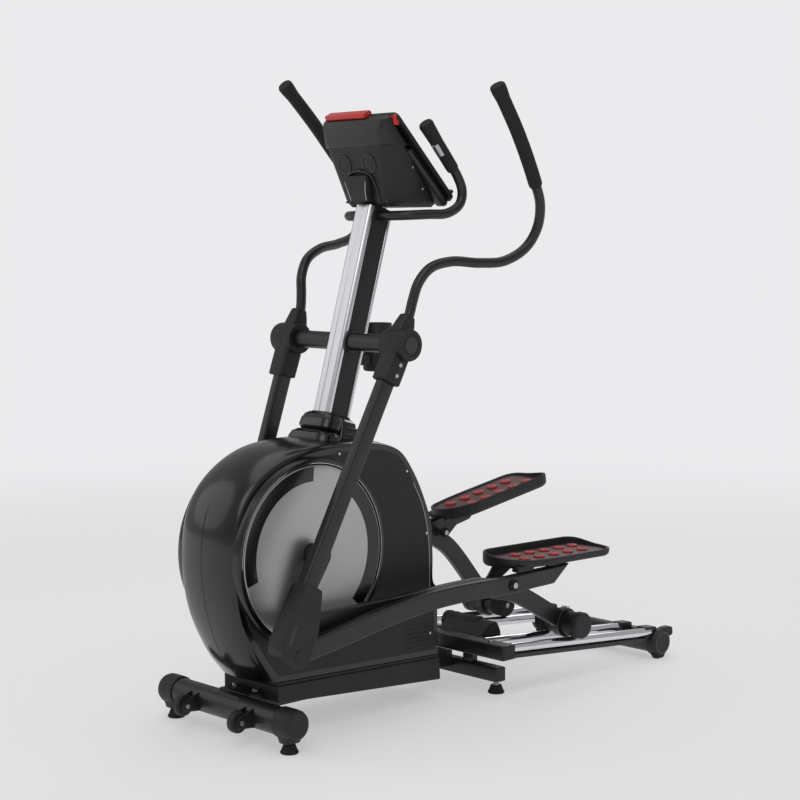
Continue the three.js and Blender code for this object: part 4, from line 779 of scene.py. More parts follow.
def screw_recess(b, y, z, place):
    """A raised collar with a dark well and a small screw in it."""
    x = SHROUD_HALF + 1.2
    b.turned(
        [(5.5, x), (5.5, x + 0.9), (8, x + 0.9), (9, x), (5.5, x)], place, "grained", (y, z), 32
    )
    b.turned([(0, x), (4.2, x), (4, x + 0.6), (0, x + 0.9)], place, "zinc", (y, z), 24)


def collar():
    """Rounded rectangles stacked up the mast: two lobes in front, a stepped block behind."""
    b = Body()
    lower = [
        (-121, -84, 84, -84, 4, 30), (-104, -86, 86, -87, 4, 36), (-88, -82, 82, -82, 4, 38),
        (-78, -70, 70, -70, 4, 34), (-74, -62, 62, -61, 4, 28),
    ]
    b.tower(lower, MAST, "gloss", 4)
    upper = [
        (-82, -60, 60, -60, 4, 26), (-66, -68, 68, -69, 4, 30), (-46, -66, 66, -66, 4, 28),
        (-30, -58, 58, -57, 4, 22), (-24, -50, 50, -52, 4, 16),
    ]
    b.tower(upper, MAST, "gloss", 3)
    rear = [
        (-121, -70, 70, -4, 62, 12), (-60, -64, 64, -4, 60, 12), (-36, -58, 58, -4, 54, 12),
        (-28, -50, 50, -4, 50, 10),
    ]
    b.tower(rear, MAST, "gloss", 4)
    for i in range(4):
        t = -114 + i * 19
        b.box((-71 + i * 2, 71 - i * 2), (8, 64 - i * 1.5), (t, t + 9), MAST, "gloss", 3)
    b.tower([(-27, -38, 38, -50, 49, 10), (-21, -36, 36, -48, 47, 10)], MAST, "rubber", 1.5)
    b.done("mast_collar_skin", "frame", "gloss_black", "mast_collar")


# ---------------------------------------------------------------- crank


def crank_discs():
    """A dished face turned about the hub, two printed arcs on it, and a flat hub ring."""
    for side in REST:
        place = REST[side]["crank"]
        b = Body()
        face = [
            (13.5, 120), (60, 120), (130, 124.8), (200, 131), (232, 133.2), (244, 134), (246, 133),
            (246, 131.4), (210, 129), (130, 122), (60, 117.2), (13.5, 117.2), (13.5, 120),
        ]
        b.turned(face, place, "disc", sides=160)
        for start, end in ((119, 224), (-16, 89)):
            arc_band(b, 202, 243, start, end, place, "gloss")
        b.turned(
            [(13.6, 119), (13.6, 122), (28, 122.4), (30, 119), (13.6, 119)], place, "grained",
            sides=64,
        )
        b.done("crank_disc_skin_" + side, "crank", "disc_silver", "crank_disc_" + side)


def disc_x(radius):
    """How far out the dished face stands at a radius: straight lines between its rings."""
    return float(np.interp(radius, [60, 130, 200, 232, 244], [120, 124.8, 131, 133.2, 134]))


def arc_band(b, inner, outer, start, end, place, material):
    """A printed band that follows the dished face between two radii and two angles."""
    rings = []
    middle = (inner + outer) / 2
    for turn in np.radians(np.linspace(start, end, 60)):
        row = []
        for radius, lift in ((inner, -1), (inner, 0.5), (middle, 0.6), (outer, 0.5), (outer, -1)):
            row.append((disc_x(radius) + lift, radius * math.cos(turn), radius * math.sin(turn)))
        rings.append(row)
    b.rings(rings, place, material)


def crank_arms():
    """A flat bar, the outline of a band round two circles, with a turned boss and pin."""
    for side in REST:
        place = REST[side]["crank"]
        b = Body()
        outline = round_two((0, 0), 38, (0, -THROW), 24, 32)
        b.prism(outline, 146, 164, place, "satin", 4)
        b.turned(rod(26, 122, 147), place, "satin")
        b.turned([(0, 163), (22, 163), (22, 166), (18, 170), (0, 171)], place, "grained")
        b.turned(
            [(0, 160), (17, 160), (17, 168), (11, 169), (11, 184), (0, 184)], place, "zinc",
            (0, -THROW), 40,
        )
        b.done("crank_arm_skin_" + side, "crank", "black_paint", "crank_arm_" + side)


def inner_drive():
    """The drive inside the covers keeps its CAD meshes."""
    paint(["crank_axle_pulley", "brake_arm"], "zinc")
    paint(["flywheel"], "iron")
    paint(["drive_belt"], "rubber")


# ---------------------------------------------------------------- mast


def mast():
    """Outlines pushed up the mast: front, rear and web, then the channels beside the web."""
    low, high = -123, 588
    b = Body()
    front = [
        (-32.5, -27), (-32.5, -39), (-26, -45), (-5, -45), (-4, -43), (4, -43), (5, -45), (26, -45),
        (32.5, -39), (32.5, -27),
    ]
    b.prism(softened(front, 4), low, high, MAST, "anodised", 0.6, "t")
    b.prism(rounded(-32.5, 32.5, 35, 45, 3), low, high, MAST, "anodised", 0.6, "t")
    b.prism(rounded(-6, 6, -28, 36, 1), low, high, MAST, "anodised", 0.6, "t")
    b.done("mast_profile_skin", "frame", "aluminium", "mast_profile")
    b = Body()
    for sign in (-1, 1):
        x = sorted((sign * 6.5, sign * 31.3))
        b.prism(rounded(*x, -26.6, 33.6, 1.5), low, high + 3.6, MAST, "grained", 0.8, "t")
        edge = sorted((sign * 30.5, sign * 31.9))
        for s in (-24, 30):
            b.prism(rounded(*edge, s, s + 1.6, 0.5), low + 100, high - 4, MAST, "gloss", 0.3, "t")
    b.prism(rounded(-31, 31, -26.6, 33.6, 3), high + 0.5, high + 4.4, MAST, "grained", 1.2, "t")
    b.done("mast_side_skin", "frame", "matte_black", "mast_side_cover")


def pivot_tube():
    """A round tube across the mast with a turned flange on each side of it."""
    b = Body()
    b.turned(rod(25.5, -258, 258), centre=PIVOT_AXIS, sides=64)
    for side in (-1, 1):
        x = sorted((side * 33.5, side * 41))
        b.turned(
            [
                (25, x[0]), (30, x[0]), (31, x[0] + 1), (31, x[1] - 1), (30, x[1]), (25, x[1]),
                (25, x[0]),
            ],
            centre=PIVOT_AXIS, material="satin",
        )
    b.done("pivot_tube_skin", "frame", "black_paint", "pivot_tube")


def bottle_holder():
    """A turned cup with three turned ribs, on a rounded block that meets the mast."""
    b = Body()
    cup = [
        (0, 975), (36, 975), (41, 978), (42, 984), (42, 1113), (41, 1115), (40, 1115), (39, 1113),
        (39, 984), (37, 981), (1, 981),
    ]
    b.turned(cup, material="grained", centre=BOTTLE_AXIS, sides=64, axis="t")
    for i in range(3):
        z = 1000 + i * 34
        b.turned(
            [(41.8, z), (42.8, z + 2), (42.8, z + 6), (41.8, z + 8), (40, z + 4), (41.8, z)],
            material="grained", centre=BOTTLE_AXIS, sides=64, axis="t",
        )
    b.box((-16, 16), (462, 511), (995, 1027), material="grained", edge=3)
    b.done("bottle_holder_skin", "frame", "matte_black", "bottle_holder")


# ---------------------------------------------------------------- console and fixed bar

BAR_HALF = [
    (0, 533, 1424), (45, 533, 1424), (80, 533, 1424), (122, 552, 1425), (150, 610, 1428),
    (160, 680, 1432), (163, 726, 1458), (163, 736, 1496), (162, 716, 1540), (160, 656, 1609),
    (158, 596, 1679),
]
# The lower and upper ends, in (y, z), of the plane that the console's face lies on.
FACE_LOW, FACE_HIGH = (712, 1470), (484, 1704)


def fixed_handlebar():
    """A round tube along a smooth curve mirrored in x, and a grip whose radius varies along it."""
    right = [(-x, y, z) for x, y, z in BAR_HALF[1:]][::-1]
    b = Body().swept(smooth(right + BAR_HALF, 180), 14, sides=32)
    b.done("fixed_handlebar_skin", "frame", "black_paint", "fixed_handlebar")
    for side, sign in SIDES:
        end, before = np.array(BAR_HALF[-1], float), np.array(BAR_HALF[-2], float)
        along = (end - before) / np.linalg.norm(end - before)
        steps = np.linspace(-162, 8, 30)
        radius = np.interp(
            steps, [-162, -160, -154, -60, 2, 6, 8], [15.5, 17, 18.4, 19, 22, 21.4, 19]
        )
        b = Body().swept(end + np.outer(steps, along), radius, Place(sign=sign), "foam", 40)
        plate = end + np.outer([-100, -99, -60, -59], along) + np.array([0, -3.2, -2.8])
        b.swept(plate, [15, 16.4, 16.8, 15], Place(sign=sign), "zinc", 32)
        b.done("fixed_grip_skin_" + side, "frame", "rubber", "fixed_grip_" + side)


def console():
    """The rear shell is stacked from rounded sections that narrow towards the mast."""
    b = Body()
    lower = [
        (1450, -96, 96, 516, 704, 26), (1470, -101, 101, 506, 711, 32),
        (1530, -116, 116, 488, 652, 36), (1588, -129, 129, 470, 596, 38),
        (1630, -136, 136, 462, 555, 38),
    ]
    b.tower(lower, material="grained", edge=8)
    upper = [
        (1620, -140, 140, 458, 566, 36), (1650, -140, 140, 452, 536, 36),
        (1676, -139, 139, 452, 510, 27),
        (1692, -136, 136, 456, 495, 18), (1703, -130, 130, 466, 484, 8),
    ]
    b.tower(upper, material="satin", edge=3)
    side_line = [(566, 1620), (712, 1470), (704, 1452), (690, 1452), (545, 1605)]
    for sign in (-1, 1):
        x = sorted((sign * 96, sign * 138))
        b.prism(softened(side_line, 12, 6), *x, material="satin", edge=12)
    tangent = math.atan2(138, -42) - math.pi / 2
    face = Place(491, 1519, tangent)
    for x in (-54, 50):
        speaker(b, x, face)
    arch = smooth(
        [
            (-60, 508, 1462), (-58, 494, 1505), (-44, 482, 1538), (0, 478, 1551), (44, 482, 1538),
            (58, 494, 1505), (60, 508, 1462),
        ],
        60,
    )
    b.swept(arch, 4.5, material="satin", sides=16)
    for x, y, z in ((52, 452, 1660), (-86, 512, 1464), (86, 512, 1464)):
        b.turned(rod(3.2, -4, 1.2), Place(y, z, math.pi / 2), "gloss", (x, 0), 20, "t")
    for y, z in ((600, 1500), (560, 1560)):
        b.turned(rod(3.4, 137, 139.4), material="zinc", centre=(y, z), sides=20)
    b.done("console_back_skin", "frame", "matte_black", "console_back")


def speaker(b, x, face):
    """A round grille: a rim, a sunk dish and rows of small bosses between its slots."""
    steps = 40
    turn = np.linspace(0, 2 * math.pi, steps, endpoint=False)
    for inner, outer, low, high, material in (
        (23, 27, -1, 2.6, "gloss"), (0.5, 23, -1, 0.8, "grained")
    ):
        rows = [(inner, low), (inner, high), (outer, high), (outer, low)]
        rings = [
            np.stack(
                [x + r * np.cos(turn), np.full(steps, -s), 54 + r * np.sin(turn)], 1
            ) for r, s in rows
        ]
        b.rings(rings, face, material, wrap=True)
    for i in range(-3, 4):
        reach = math.sqrt(21**2 - (5.6 * i) ** 2)
        b.box(
            (x - reach, x + reach), (-2.2, 0), (52.8 + 5.6 * i, 55.2 + 5.6 * i), face, "gloss", 0.5
        )


def console_face():
    """The screen side: a frame, a window, keys in rows and a ledge along the lower edge."""
    low, high = np.array(FACE_LOW, float), np.array(FACE_HIGH, float)
    length = float(np.linalg.norm(high - low))
    turn = math.atan2(high[1] - low[1], high[0] - low[0]) - math.pi / 2
    place = Place(low[0], low[1], turn)
    outer = rounded(-146, 146, -5, length, 16)
    b = Body()
    face_slab(b, outer, 0.4, 14, place, "grained", 4)
    face_slab(b, rounded(-128, 128, 66, length - 14, 10), 13, 15, place, "gloss", 1)
    face_slab(b, rounded(-88, 88, 104, length - 36, 5), 14.2, 15.8, place, "screen", 0.6)
    for x in (-110, 110):
        for i in range(4):
            t = 116 + i * 42
            face_slab(b, rounded(x - 10, x + 10, t, t + 16, 5), 14.4, 16.4, place, "key", 1)
    for i in range(5):
        x = -72 + i * 36
        face_slab(
            b, rounded(x - 12, x + 12, 76, 92, 7), 14.4, 16.6, place, "red" if i == 2 else "key", 1
        )
    face_slab(b, rounded(-126, 126, -2, 8, 3), 12, 38, place, "grained", 2)
    b.done("console_front_skin", "frame", "gloss_black", "console_front")


def face_slab(b, outline, low, high, place, material, edge):
    """A slab on the console's face: outline in (x, up the face), low to high out of it."""
    steps = np.linspace(0, math.pi / 2, 4)
    levels = [(high - edge * (1 - math.cos(a)), edge * (1 - math.sin(a))) for a in steps]
    rings = []
    for out, inset in levels + [(low, 0.0)]:
        p = moved(outline, inset)
        rings.append(np.stack([p[:, 0], np.full(len(p), out), p[:, 1]], 1))
    b.rings(rings, place, material)


def console_trim():
    """A rounded outline pushed across the top edge, and a small rounded block at the corner."""
    y, z = FACE_HIGH
    outline = [
        (y - 24, z - 7.5), (y - 2, z + 0.8), (y + 8, z + 12), (y - 4, z + 19), (y - 30, z + 6)
    ]
    b = Body().prism(softened(outline, 5), -120, 46, material="red", edge=3)
    b.box((118, 144), (486, 505), (1676, 1706), material="red", edge=4)
    b.done("console_trim_skin", "frame", "red_plastic", "console_trim")


def console_neck():
    """Rounded rectangles stacked up the neck, with a thin line along each side."""
    b = Body()
    levels = [
        (1464, -33, 33, 480, 519.6, 5), (1490, -37, 37, 472, 519.6, 5),
        (1520, -45, 45, 464, 519.6, 5), (1538, -42, 42, 468, 518, 5),
    ]
    b.tower(levels, material="grained", edge=2)
    for side in (-1, 1):
        path = smooth([(side * 32, 480, 1468), (side * 36, 472, 1492), (side * 43, 465, 1520)], 24)
        b.swept(path, 1.2, material="silver", sides=10)
    b.done("console_neck_skin", "frame", "matte_black", "console_neck")


# ---------------------------------------------------------------- moving sides

LEVER = [
    (222, 6, 28), (222, 6, 92), (223, -1, 134), (229, -8, 186), (238, 8, 240), (252, 62, 287),
    (272, 146, 324), (292, 218, 366), (314, 260, 430), (334, 258, 494), (350, 222, 550),
    (359, 160, 594), (364, 39, 674), (364, -93, 748),
]
GRIP_LENGTH = 318
FOOT = -40.0  # how far forward of its lower joint the swing arm's tube ends


def swing_arms():
    """A round tube along the lever's curve, a tower below the pivot, a two-plate clevis."""
    for side in REST:
        place, body = REST[side]["arm"], "swing_arm_" + side
        line = smooth(LEVER, 200)
        b = Body().swept(line, 14.5, place, "satin", 36)
        levels = [(-ARM + 58, 237, 267, FOOT - 25, FOOT + 25, 7), (-20, 217, 247, -25, 25, 7)]
        b.tower(levels, place, "satin", 2)
        for x0, x1 in ((226.5, 232), (272, 277.5)):
            b.prism(
                round_two((0, -ARM), 18, (FOOT * 0.9, -ARM + 64), 16), x0, x1, place, "satin", 1
            )
        b.box((227, 277), (FOOT - 14, FOOT + 14), (-ARM + 54, -ARM + 68), place, "satin", 2)
        b.turned(rod(9, 231, 273), place, "zinc", (0, -ARM), 32)
        b.turned(pipe(26.6, 33, 200, 262), place, "satin", sides=48)
        b.done("swing_arm_skin_" + side, body, "black_paint", "swing_arm_" + side)
        pivot_housing(side, place, body)
        lever_grip(side, place, body, line)
        arm_shell(side, place, body)


def pivot_housing(side, place, body):
    """A turned drum on the pivot, with towers above and below it for the tubes."""
    b = Body()
    drum = [
        (26.5, 190), (42, 190), (44.4, 192), (45, 195), (45, 272), (43.6, 277), (40, 280),
        (31, 280.4), (30, 278.6), (0.5, 278.6),
    ]
    b.turned([(0.5, 262.5)] + [(26.5, 262.5)] + drum, place, "grained", sides=96)
    b.turned(
        [(45, 226), (45.8, 227), (45.8, 231), (45, 232), (43, 229), (45, 226)], place, "grained",
        sides=96,
    )
    b.turned([(0, 278), (24, 278), (23, 280), (0, 280.4)], place, "gloss", sides=64)
    neck = [
        (14, 200, 250, -33, 33, 10), (42, 201, 247, -30, 31, 12), (66, 203, 243, -24, 27, 12),
        (88, 205, 240, -19, 22, 12),
    ]
    b.tower(neck, place, "grained", 3)
    sleeve = [
        (-116, 207, 265, -37, 26, 9), (-70, 205, 264, -35, 29, 10), (-14, 202, 262, -33, 32, 12)
    ]
    b.tower(sleeve, place, "grained", 3)
    for t in (-60, -92):
        b.turned([(0, 263), (6, 263), (6, 266), (3, 266.4), (0, 266.4)], place, "zinc", (0, t), 24)
    b.done("pivot_housing_skin_" + side, body, "matte_black", "pivot_housing_" + side)


def lever_grip(side, place, body, line):
    """A round section along the lever's last stretch, its radius varying towards a swollen end."""
    length = np.concatenate([[0], np.cumsum(np.linalg.norm(np.diff(line, axis=0), axis=1))])
    at = np.linspace(length[-1] - GRIP_LENGTH, length[-1], 60)
    path = np.stack([np.interp(at, length, line[:, k]) for k in range(3)], 1)
    along = (path[-1] - path[-2]) / np.linalg.norm(path[-1] - path[-2])
    path = np.vstack([path, path[-1] + along * 5, path[-1] + along * 9])
    ends = np.append(at - at[0], [GRIP_LENGTH + 5, GRIP_LENGTH + 9])
    knots = [0, 3, 10, 280, 305, 318, 323, 327]
    radius = np.interp(ends, knots, [16, 18.5, 20, 20, 22.6, 23, 22.6, 20])
    b = Body().swept(path, radius, place, "foam", 48)
    b.done("lever_grip_skin_" + side, body, "rubber", "lever_grip_" + side)


def arm_shell(side, place, body):
    """The lower cover: two side plates and a front and lower wall, open to the rear."""
    b = Body()
    x0, x1 = 223.2 - 2.4, 280.8
    left, right = np.radians(np.linspace(180, 262, 16)), np.radians(np.linspace(278, 360, 16))
    outline = [(FOOT + 33 * math.cos(a), -ARM + 8 + 33 * math.sin(a)) for a in left]
    outline += [(33 * math.cos(a), -ARM + 33 * math.sin(a)) for a in right]
    outline += [(33, -ARM + 70), (26, -ARM + 92), (FOOT + 40, -ARM + 168), (FOOT + 33, -ARM + 182)]
    outline += [(FOOT - 20, -ARM + 182), (FOOT - 27, -ARM + 168), (FOOT - 33, -ARM + 50)]
    for low, high in ((x0, x0 + 3.8), (x1 - 3.8, x1)):
        b.prism(softened(outline, 3, 2), low, high, place, "grained", 1.8)
    wall = [(FOOT - 20, -ARM + 180), (FOOT - 31.4, -ARM + 50)]
    wall += [(FOOT + 31.4 * math.cos(a), -ARM + 8 + 31.4 * math.sin(a)) for a in left]
    round_end = np.radians(np.linspace(278, 318, 10))
    wall += [(31.4 * math.cos(a), -ARM + 31.4 * math.sin(a)) for a in round_end]
    b.prism(strip(wall, 3.2), x0 + 1, x1 - 1, place, "grained", 0.8)
    rear = [(FOOT + 32, -ARM + 180), (12, -ARM + 118), (22, -ARM + 96)]
    b.prism(strip(rear, 3.2), x0 + 1, x1 - 1, place, "grained", 0.8)
    cap = [
        (-ARM + 160, x0 + 1, x1 - 1, FOOT - 25, FOOT + 36, 7),
        (-ARM + 184, x0 + 3, x1 - 3, FOOT - 20, FOOT + 32, 7),
    ]
    b.tower(cap, place, "grained", 2)
    b.turned(
        [(0, x1 - 0.5), (19, x1 - 0.5), (19, x1 + 0.9), (17.6, x1 + 1.3), (0, x1 + 1.3)], place,
        "grained", (0, -ARM), 48,
    )
    slot = round_two((FOOT - 12, -ARM + 22), 7, (FOOT - 12, -ARM + 62), 7, 16)
    b.prism(slot, x1 - 1, x1 + 0.4, place, "gloss", 0.3)
    b.done("arm_shell_skin_" + side, body, "matte_black", "arm_shell_" + side)


def strip(path, thick):
    """The outline of a thin wall that follows a line of points."""
    p = np.asarray(path, float)
    along = np.gradient(p, axis=0)
    along /= np.linalg.norm(along, axis=1)[:, None]
    side = np.stack([-along[:, 1], along[:, 0]], 1) * thick / 2
    return np.vstack([p - side, (p + side)[::-1]])


LINK_LINE = [
    (0, 0), (150, 10), (330, 25), (530, 31), (700, 19), (838, 4), (930, 0), (1010, -5), (1090, -8)
]


def foot_links():
    """A band of varying height along a smooth line, with a turned eye, washers and a bolt."""
    for side in REST:
        place, body = REST[side]["link"], "foot_link_" + side
        b = Body()
        outline = band(LINK_LINE, np.interp(np.linspace(0, 1, 80), [0, 0.5, 1], [54, 54, 50]), 80)
        outline = outline[(outline[:, 0] < 1030) | (outline[:, 1] > 0)]
        b.prism(outline, 235, 269, place, "satin", 5)
        b.turned(pipe(10, 27, 234, 270), place, "satin", sides=48)
        for low, high, radius in ((231, 236, 17), (268, 274.5, 17)):
            b.turned(rod(radius, low, high), place, "rubber", (LINK, 4), 40)
        b.hexagon((LINK, 4), 10, 274, 279, place, "zinc")
        b.done("foot_link_skin_" + side, body, "black_paint", "foot_link_" + side)
        pedal(side, REST[side]["pedal"], body)


def pedal_line(inset):
    """A pedal seen from above: narrow round toe, wide squared heel."""
    half, length, x = 91 - inset, 450 - inset, 192
    curves = [
        ((-half * 0.3, inset), (half * 0.62, inset - 4 + 4 * (inset > 0)), (half * 0.86, 70)),
        ((half * 0.86, 70), (half, 130), (half, 220)),
        ((half, 220), (half, (220 + length) / 2), (half, length - 50)),
        ((half, length - 50), (half, length), (half - 46, length)),
        ((half - 46, length), (0, length), (-half + 46, length)),
        ((-half + 46, length), (-half, length), (-half, length - 50)),
        ((-half, length - 50), (-half, 220), (-half, 110)),
        ((-half, 110), (-half, inset + 6), (-half * 0.3, inset)),
    ]
    out = []
    for a, c, e in curves:
        for k in np.linspace(0, 1, 14, endpoint=False):
            out.append(
                [
                    x + (1 - k) ** 2 * a[0] + 2 * k * (1 - k) * c[0] + k * k * e[0],
                    (1 - k) ** 2 * a[1] + 2 * k * (1 - k) * c[1] + k * k * e[1],
                ]
            )
    return np.array(out)


def rim_height(p):
    """The wall's top: tall on the inner side, low on the outer side and at the heel."""
    across = (p[:, 0] - 101) / 182
    toe = np.clip(1 - p[:, 1] / 90, 0, 1)
    return np.interp(across, [0, 0.12, 0.55, 1], [24, 22, 12, 7]) + 4 * toe


def link_point(along, up):
    """A point of the foot link's frame seen in the pedal's frame."""
    turn, s, t = PEDAL_TURN, along - PEDAL_AT[0], up - PEDAL_AT[1]
    return s * math.cos(turn) + t * math.sin(turn), -s * math.sin(turn) + t * math.cos(turn)


def pedal(side, place, body):
    """Outlines at rising levels make the tray and rim; ribs, bracket, liner and studs follow."""
    b = Body()
    rings = []
    for inset, level in ((14, -16), (6, -15), (1.5, -10), (0, -2)):
        p = pedal_line(inset)
        rings.append(np.column_stack([p, np.full(len(p), level)]))
    for inset, share in ((0, 0.9), (1.5, 1.0), (5, 1.0), (7, 0.9)):
        p = pedal_line(inset)
        rings.append(np.column_stack([p, rim_height(pedal_line(0)) * share]))
    for inset, level in ((8, 3), (12, 0.2)):
        p = pedal_line(inset)
        rings.append(np.column_stack([p, np.full(len(p), level)]))
    b.rings(rings, place, "grained")
    for y0, y1, low in ((26, 96, -25.5), (160, 208, -22.5)):
        b.box((238, 266), (y0, y1), (low, -8), place, "grained", 3)
    for i in range(5):
        b.box((136, 232), (150 + i * 44, 154 + i * 44), (-21, -14), place, "grained", 1)
    b.box((150, 228), (146, 334), (-19, -14), place, "grained", 2)
    s, t = link_point(LINK, 4.0)
    plate = [
        (s - 16, t + 8), (s - 12, t - 14), (s + 4, t - 19), (s + 20, t - 10), (120, -14), (118, -8),
        (20, -8),
    ]
    b.prism(softened(plate, 8), 168, 176, place, "satin", 1.5)
    b.turned(rod(15, 164.5, 177), place, "rubber", (s, t), 40)
    b.hexagon((s, t), 9, 160.5, 165, place, "zinc")
    heel = pedal_line(3)
    heel = heel[heel[:, 1] > 436]
    rings = []
    for x, y in heel[np.argsort(heel[:, 0])][1:-1]:
        top = float(rim_height(np.array([[x, y]]))[0])
        rings.append(
            [
                (x, y + 2.6, top - 12), (x, y + 4.0, top - 12), (x, y + 4.0, top - 4),
                (x, y + 2.6, top - 4),
            ]
        )
    b.rings(rings, place, "red")
    b.done("pedal_skin_" + side, body, "matte_black", "pedal_" + side)
    b = Body()
    p = pedal_line(16)
    b.prism(p, 0.5, 2.4, place, "liner", 0.6, "t")
    for i in range(5):
        for k in (-1, 1):
            y = 96 + i * 66 + (0 if k > 0 else 30)
            stud = [(0, 2), (17, 2), (17, 6), (15.5, 8.2), (12, 9), (0, 9)]
            b.turned(stud, place, "studs", (192 + k * 33, y), 32, "t")
            b.turned(
                [(7, 8.6), (7, 9.6), (9, 9.6), (9, 8.6), (7, 8.6)], place, "studs",
                (192 + k * 33, y), 32, "t",
            )
    b.done("pedal_pad_skin_" + side, body, "red_rubber", "pedal_pad_" + side)


def pedal_arms():
    """A band along a bent line from crank pin to roller, with turned eyes at both ends."""
    for side in REST:
        rest = REST[side]
        place, reach = rest["pedal_arm"], rest["reach"]
        pin = np.array([-reach, 0.0])
        joint = pin + TO_JOINT * np.array([math.cos(BEND), math.sin(BEND)])
        mix = lambda a, c, k: a + (c - a) * k
        zero = np.zeros(2)
        before, after = mix(pin, joint, 0.9), mix(joint, zero, 0.22)
        path = [
            pin, mix(pin, joint, 0.45), before, mix(before, after, 0.5), after,
            mix(joint, zero, 0.97),
        ]
        b = Body()
        b.prism(band(path, 56, 90), 190, 215, place, "satin", 4)
        b.turned(pipe(16, 34, 188, 217), place, "satin", tuple(pin), 48)
        b.turned(pipe(12, 17, 187, 218.5), place, "zinc", tuple(pin), 40)
        strap = [(36.9, 186), (43, 186), (45, 188), (45, 215), (43, 217), (36.9, 217), (36.9, 186)]
        b.turned(strap, place, "satin", sides=64)
        b.box((192, 213), (-8, 8), (43, 50), place, "zinc", 1.5)
        b.done("pedal_arm_skin_" + side, "pedal_arm_" + side, "black_paint", "pedal_arm_" + side)


def rollers():
    """Turned barrels about the roller's axle: the housing first, then the set that spins."""
    for side in REST:
        place = REST[side]["roller"]
        b = Body()
        barrel = [(9.8, 150), (33, 150), (36, 153), (36, 217), (35, 219), (9.8, 219), (9.8, 150)]
        b.turned(barrel, place, "grained", sides=64)
        for x in (158, 168, 178):
            b.turned(pipe(34, 36.3, x, x + 3), place, "gloss", sides=64)
        b.done(
            "roller_housing_skin_" + side, "carriage_" + side, "matte_black",
            "roller_housing_" + side,
        )
        b = Body()
        inner = [
            (9, 108), (28, 108), (33, 109), (38, 114), (38, 146), (35, 149), (9, 149), (9, 108)
        ]
        b.turned(inner, place, "rubber", sides=64)
        b.turned(rod(9, 109, 240), place, "zinc", sides=32)
        outer = [
            (9, 220), (34, 220), (38, 224), (38, 256), (39, 259), (41, 260), (41, 277), (38, 282),
            (33, 283), (9, 283), (9, 220),
        ]
        b.turned(outer, place, "grained", sides=80)
        b.turned([(0, 282), (30, 282), (29, 283.4), (0, 283.6)], place, "grained", sides=8)
        b.done("roller_set_skin_" + side, "rollers_" + side, "rubber", "roller_set_" + side)


# ---------------------------------------------------------------- stage

CAMERA = (3.774, -2.951, 1.355)  # in metres, y from the front feet
AZIMUTH, PITCH, LENS = math.radians(46.4), math.radians(5.17), 79.6
BACKDROP = "#ebebed"
ROOM_LIGHT = 0.45  # how much of the backdrop's brightness the room gives as light


def area_light(name, location, target, size, power):
    """A disc light that points at a target."""
    data = bpy.data.lights.new(name, "AREA")
    data.shape, data.size, data.energy = "DISK", size, power
    obj = bpy.data.objects.new(name, data)
    obj.location = location
    obj.rotation_euler = (Vector(target) - Vector(location)).to_track_quat("-Z", "Y").to_euler()
    bpy.context.scene.collection.objects.link(obj)


def floor_paint(colour):
    """Matt studio floor that gives way to the even light of the backdrop from 2.2 to 6 m out."""
    made = surface("studio floor", colour, 0.9, 0.0, (40, 0.01), 0.02)
    tree = made.node_tree
    output = next(n for n in tree.nodes if n.type == "OUTPUT_MATERIAL")
    painted = output.inputs["Surface"].links[0].from_socket
    place = node(tree, "ShaderNodeTexCoord").outputs["Object"]
    away = node(tree, "ShaderNodeVectorMath", {0: place}, operation="LENGTH").outputs["Value"]
    share = node(
        tree, "ShaderNodeMapRange", {0: away, 1: 2.2, 2: 6.0, 3: 0.5},
        interpolation_type="SMOOTHSTEP",
    ).outputs[0]
    glow = node(tree, "ShaderNodeEmission", {0: linear(BACKDROP)}).outputs[0]
    mixed = node(tree, "ShaderNodeMixShader", {0: share, 1: painted, 2: glow}).outputs[0]
    tree.links.new(mixed, output.inputs["Surface"])
    return made


def stage():
    """Adds the floor, the lights, the room's light and the camera."""
    look = colours()
    half = 30.0
    mesh = bpy.data.meshes.new("studio_floor")
    corners = [
        (-half, -half, -0.001), (half, -half, -0.001), (half, half, -0.001), (-half, half, -0.001)
    ]
    mesh.from_pydata(corners, [], [(0, 1, 2, 3)])
    mesh.materials.append(floor_paint(tinted(look.floor_colour)))
    floor = bpy.data.objects.new("studio_floor", mesh)
    bpy.context.scene.collection.objects.link(floor)
    area_light("key", (3.0, -4.5, 5.5), (0, 0, 0.8), 5.0, 90 * look.light)
    area_light("fill", (-4.5, -4.0, 3.5), (0, 0, 0.8), 5.0, 38 * look.light)
    area_light("top", (0.0, 0.5, 6.5), (0, 0, 0), 7.0, 100 * look.light)
    area_light("rim", (-2.5, 4.5, 3.5), (0, 0, 1.0), 2.5, 30 * look.light)
    world = bpy.data.worlds.new("studio")
    world.use_nodes = True
    background = world.node_tree.nodes["Background"]
    background.inputs["Color"].default_value = linear(BACKDROP)
    seen = node(world.node_tree, "ShaderNodeLightPath").outputs["Is Camera Ray"]
    strength = node(
        world.node_tree, "ShaderNodeMapRange", {0: seen, 3: ROOM_LIGHT, 4: 1.0}
    ).outputs[0]
    world.node_tree.links.new(strength, background.inputs["Strength"])
    bpy.context.scene.world = world
    bpy.context.scene.view_settings.view_transform = "Standard"
    data = bpy.data.cameras.new("camera")
    data.lens, data.sensor_width, data.clip_end = LENS, 36.0, 200.0
    camera = bpy.data.objects.new("camera", data)
    camera.location = (CAMERA[0], CAMERA[1] + Y_SHIFT, CAMERA[2])
    level = math.cos(PITCH)
    forward = Vector((-math.sin(AZIMUTH) * level, math.cos(AZIMUTH) * level, -math.sin(PITCH)))
    camera.rotation_euler = forward.to_track_quat("-Z", "Y").to_euler()
    bpy.context.scene.collection.objects.link(camera)
    bpy.context.scene.camera = camera


# ---------------------------------------------------------------- add-on


def tone(name, description, value):
    """A colour setting whose default is an sRGB hex value."""
    default = linear(value)[:3]
    return FloatVectorProperty(
        name=name, description=description, subtype="COLOR", size=3, default=default
    )


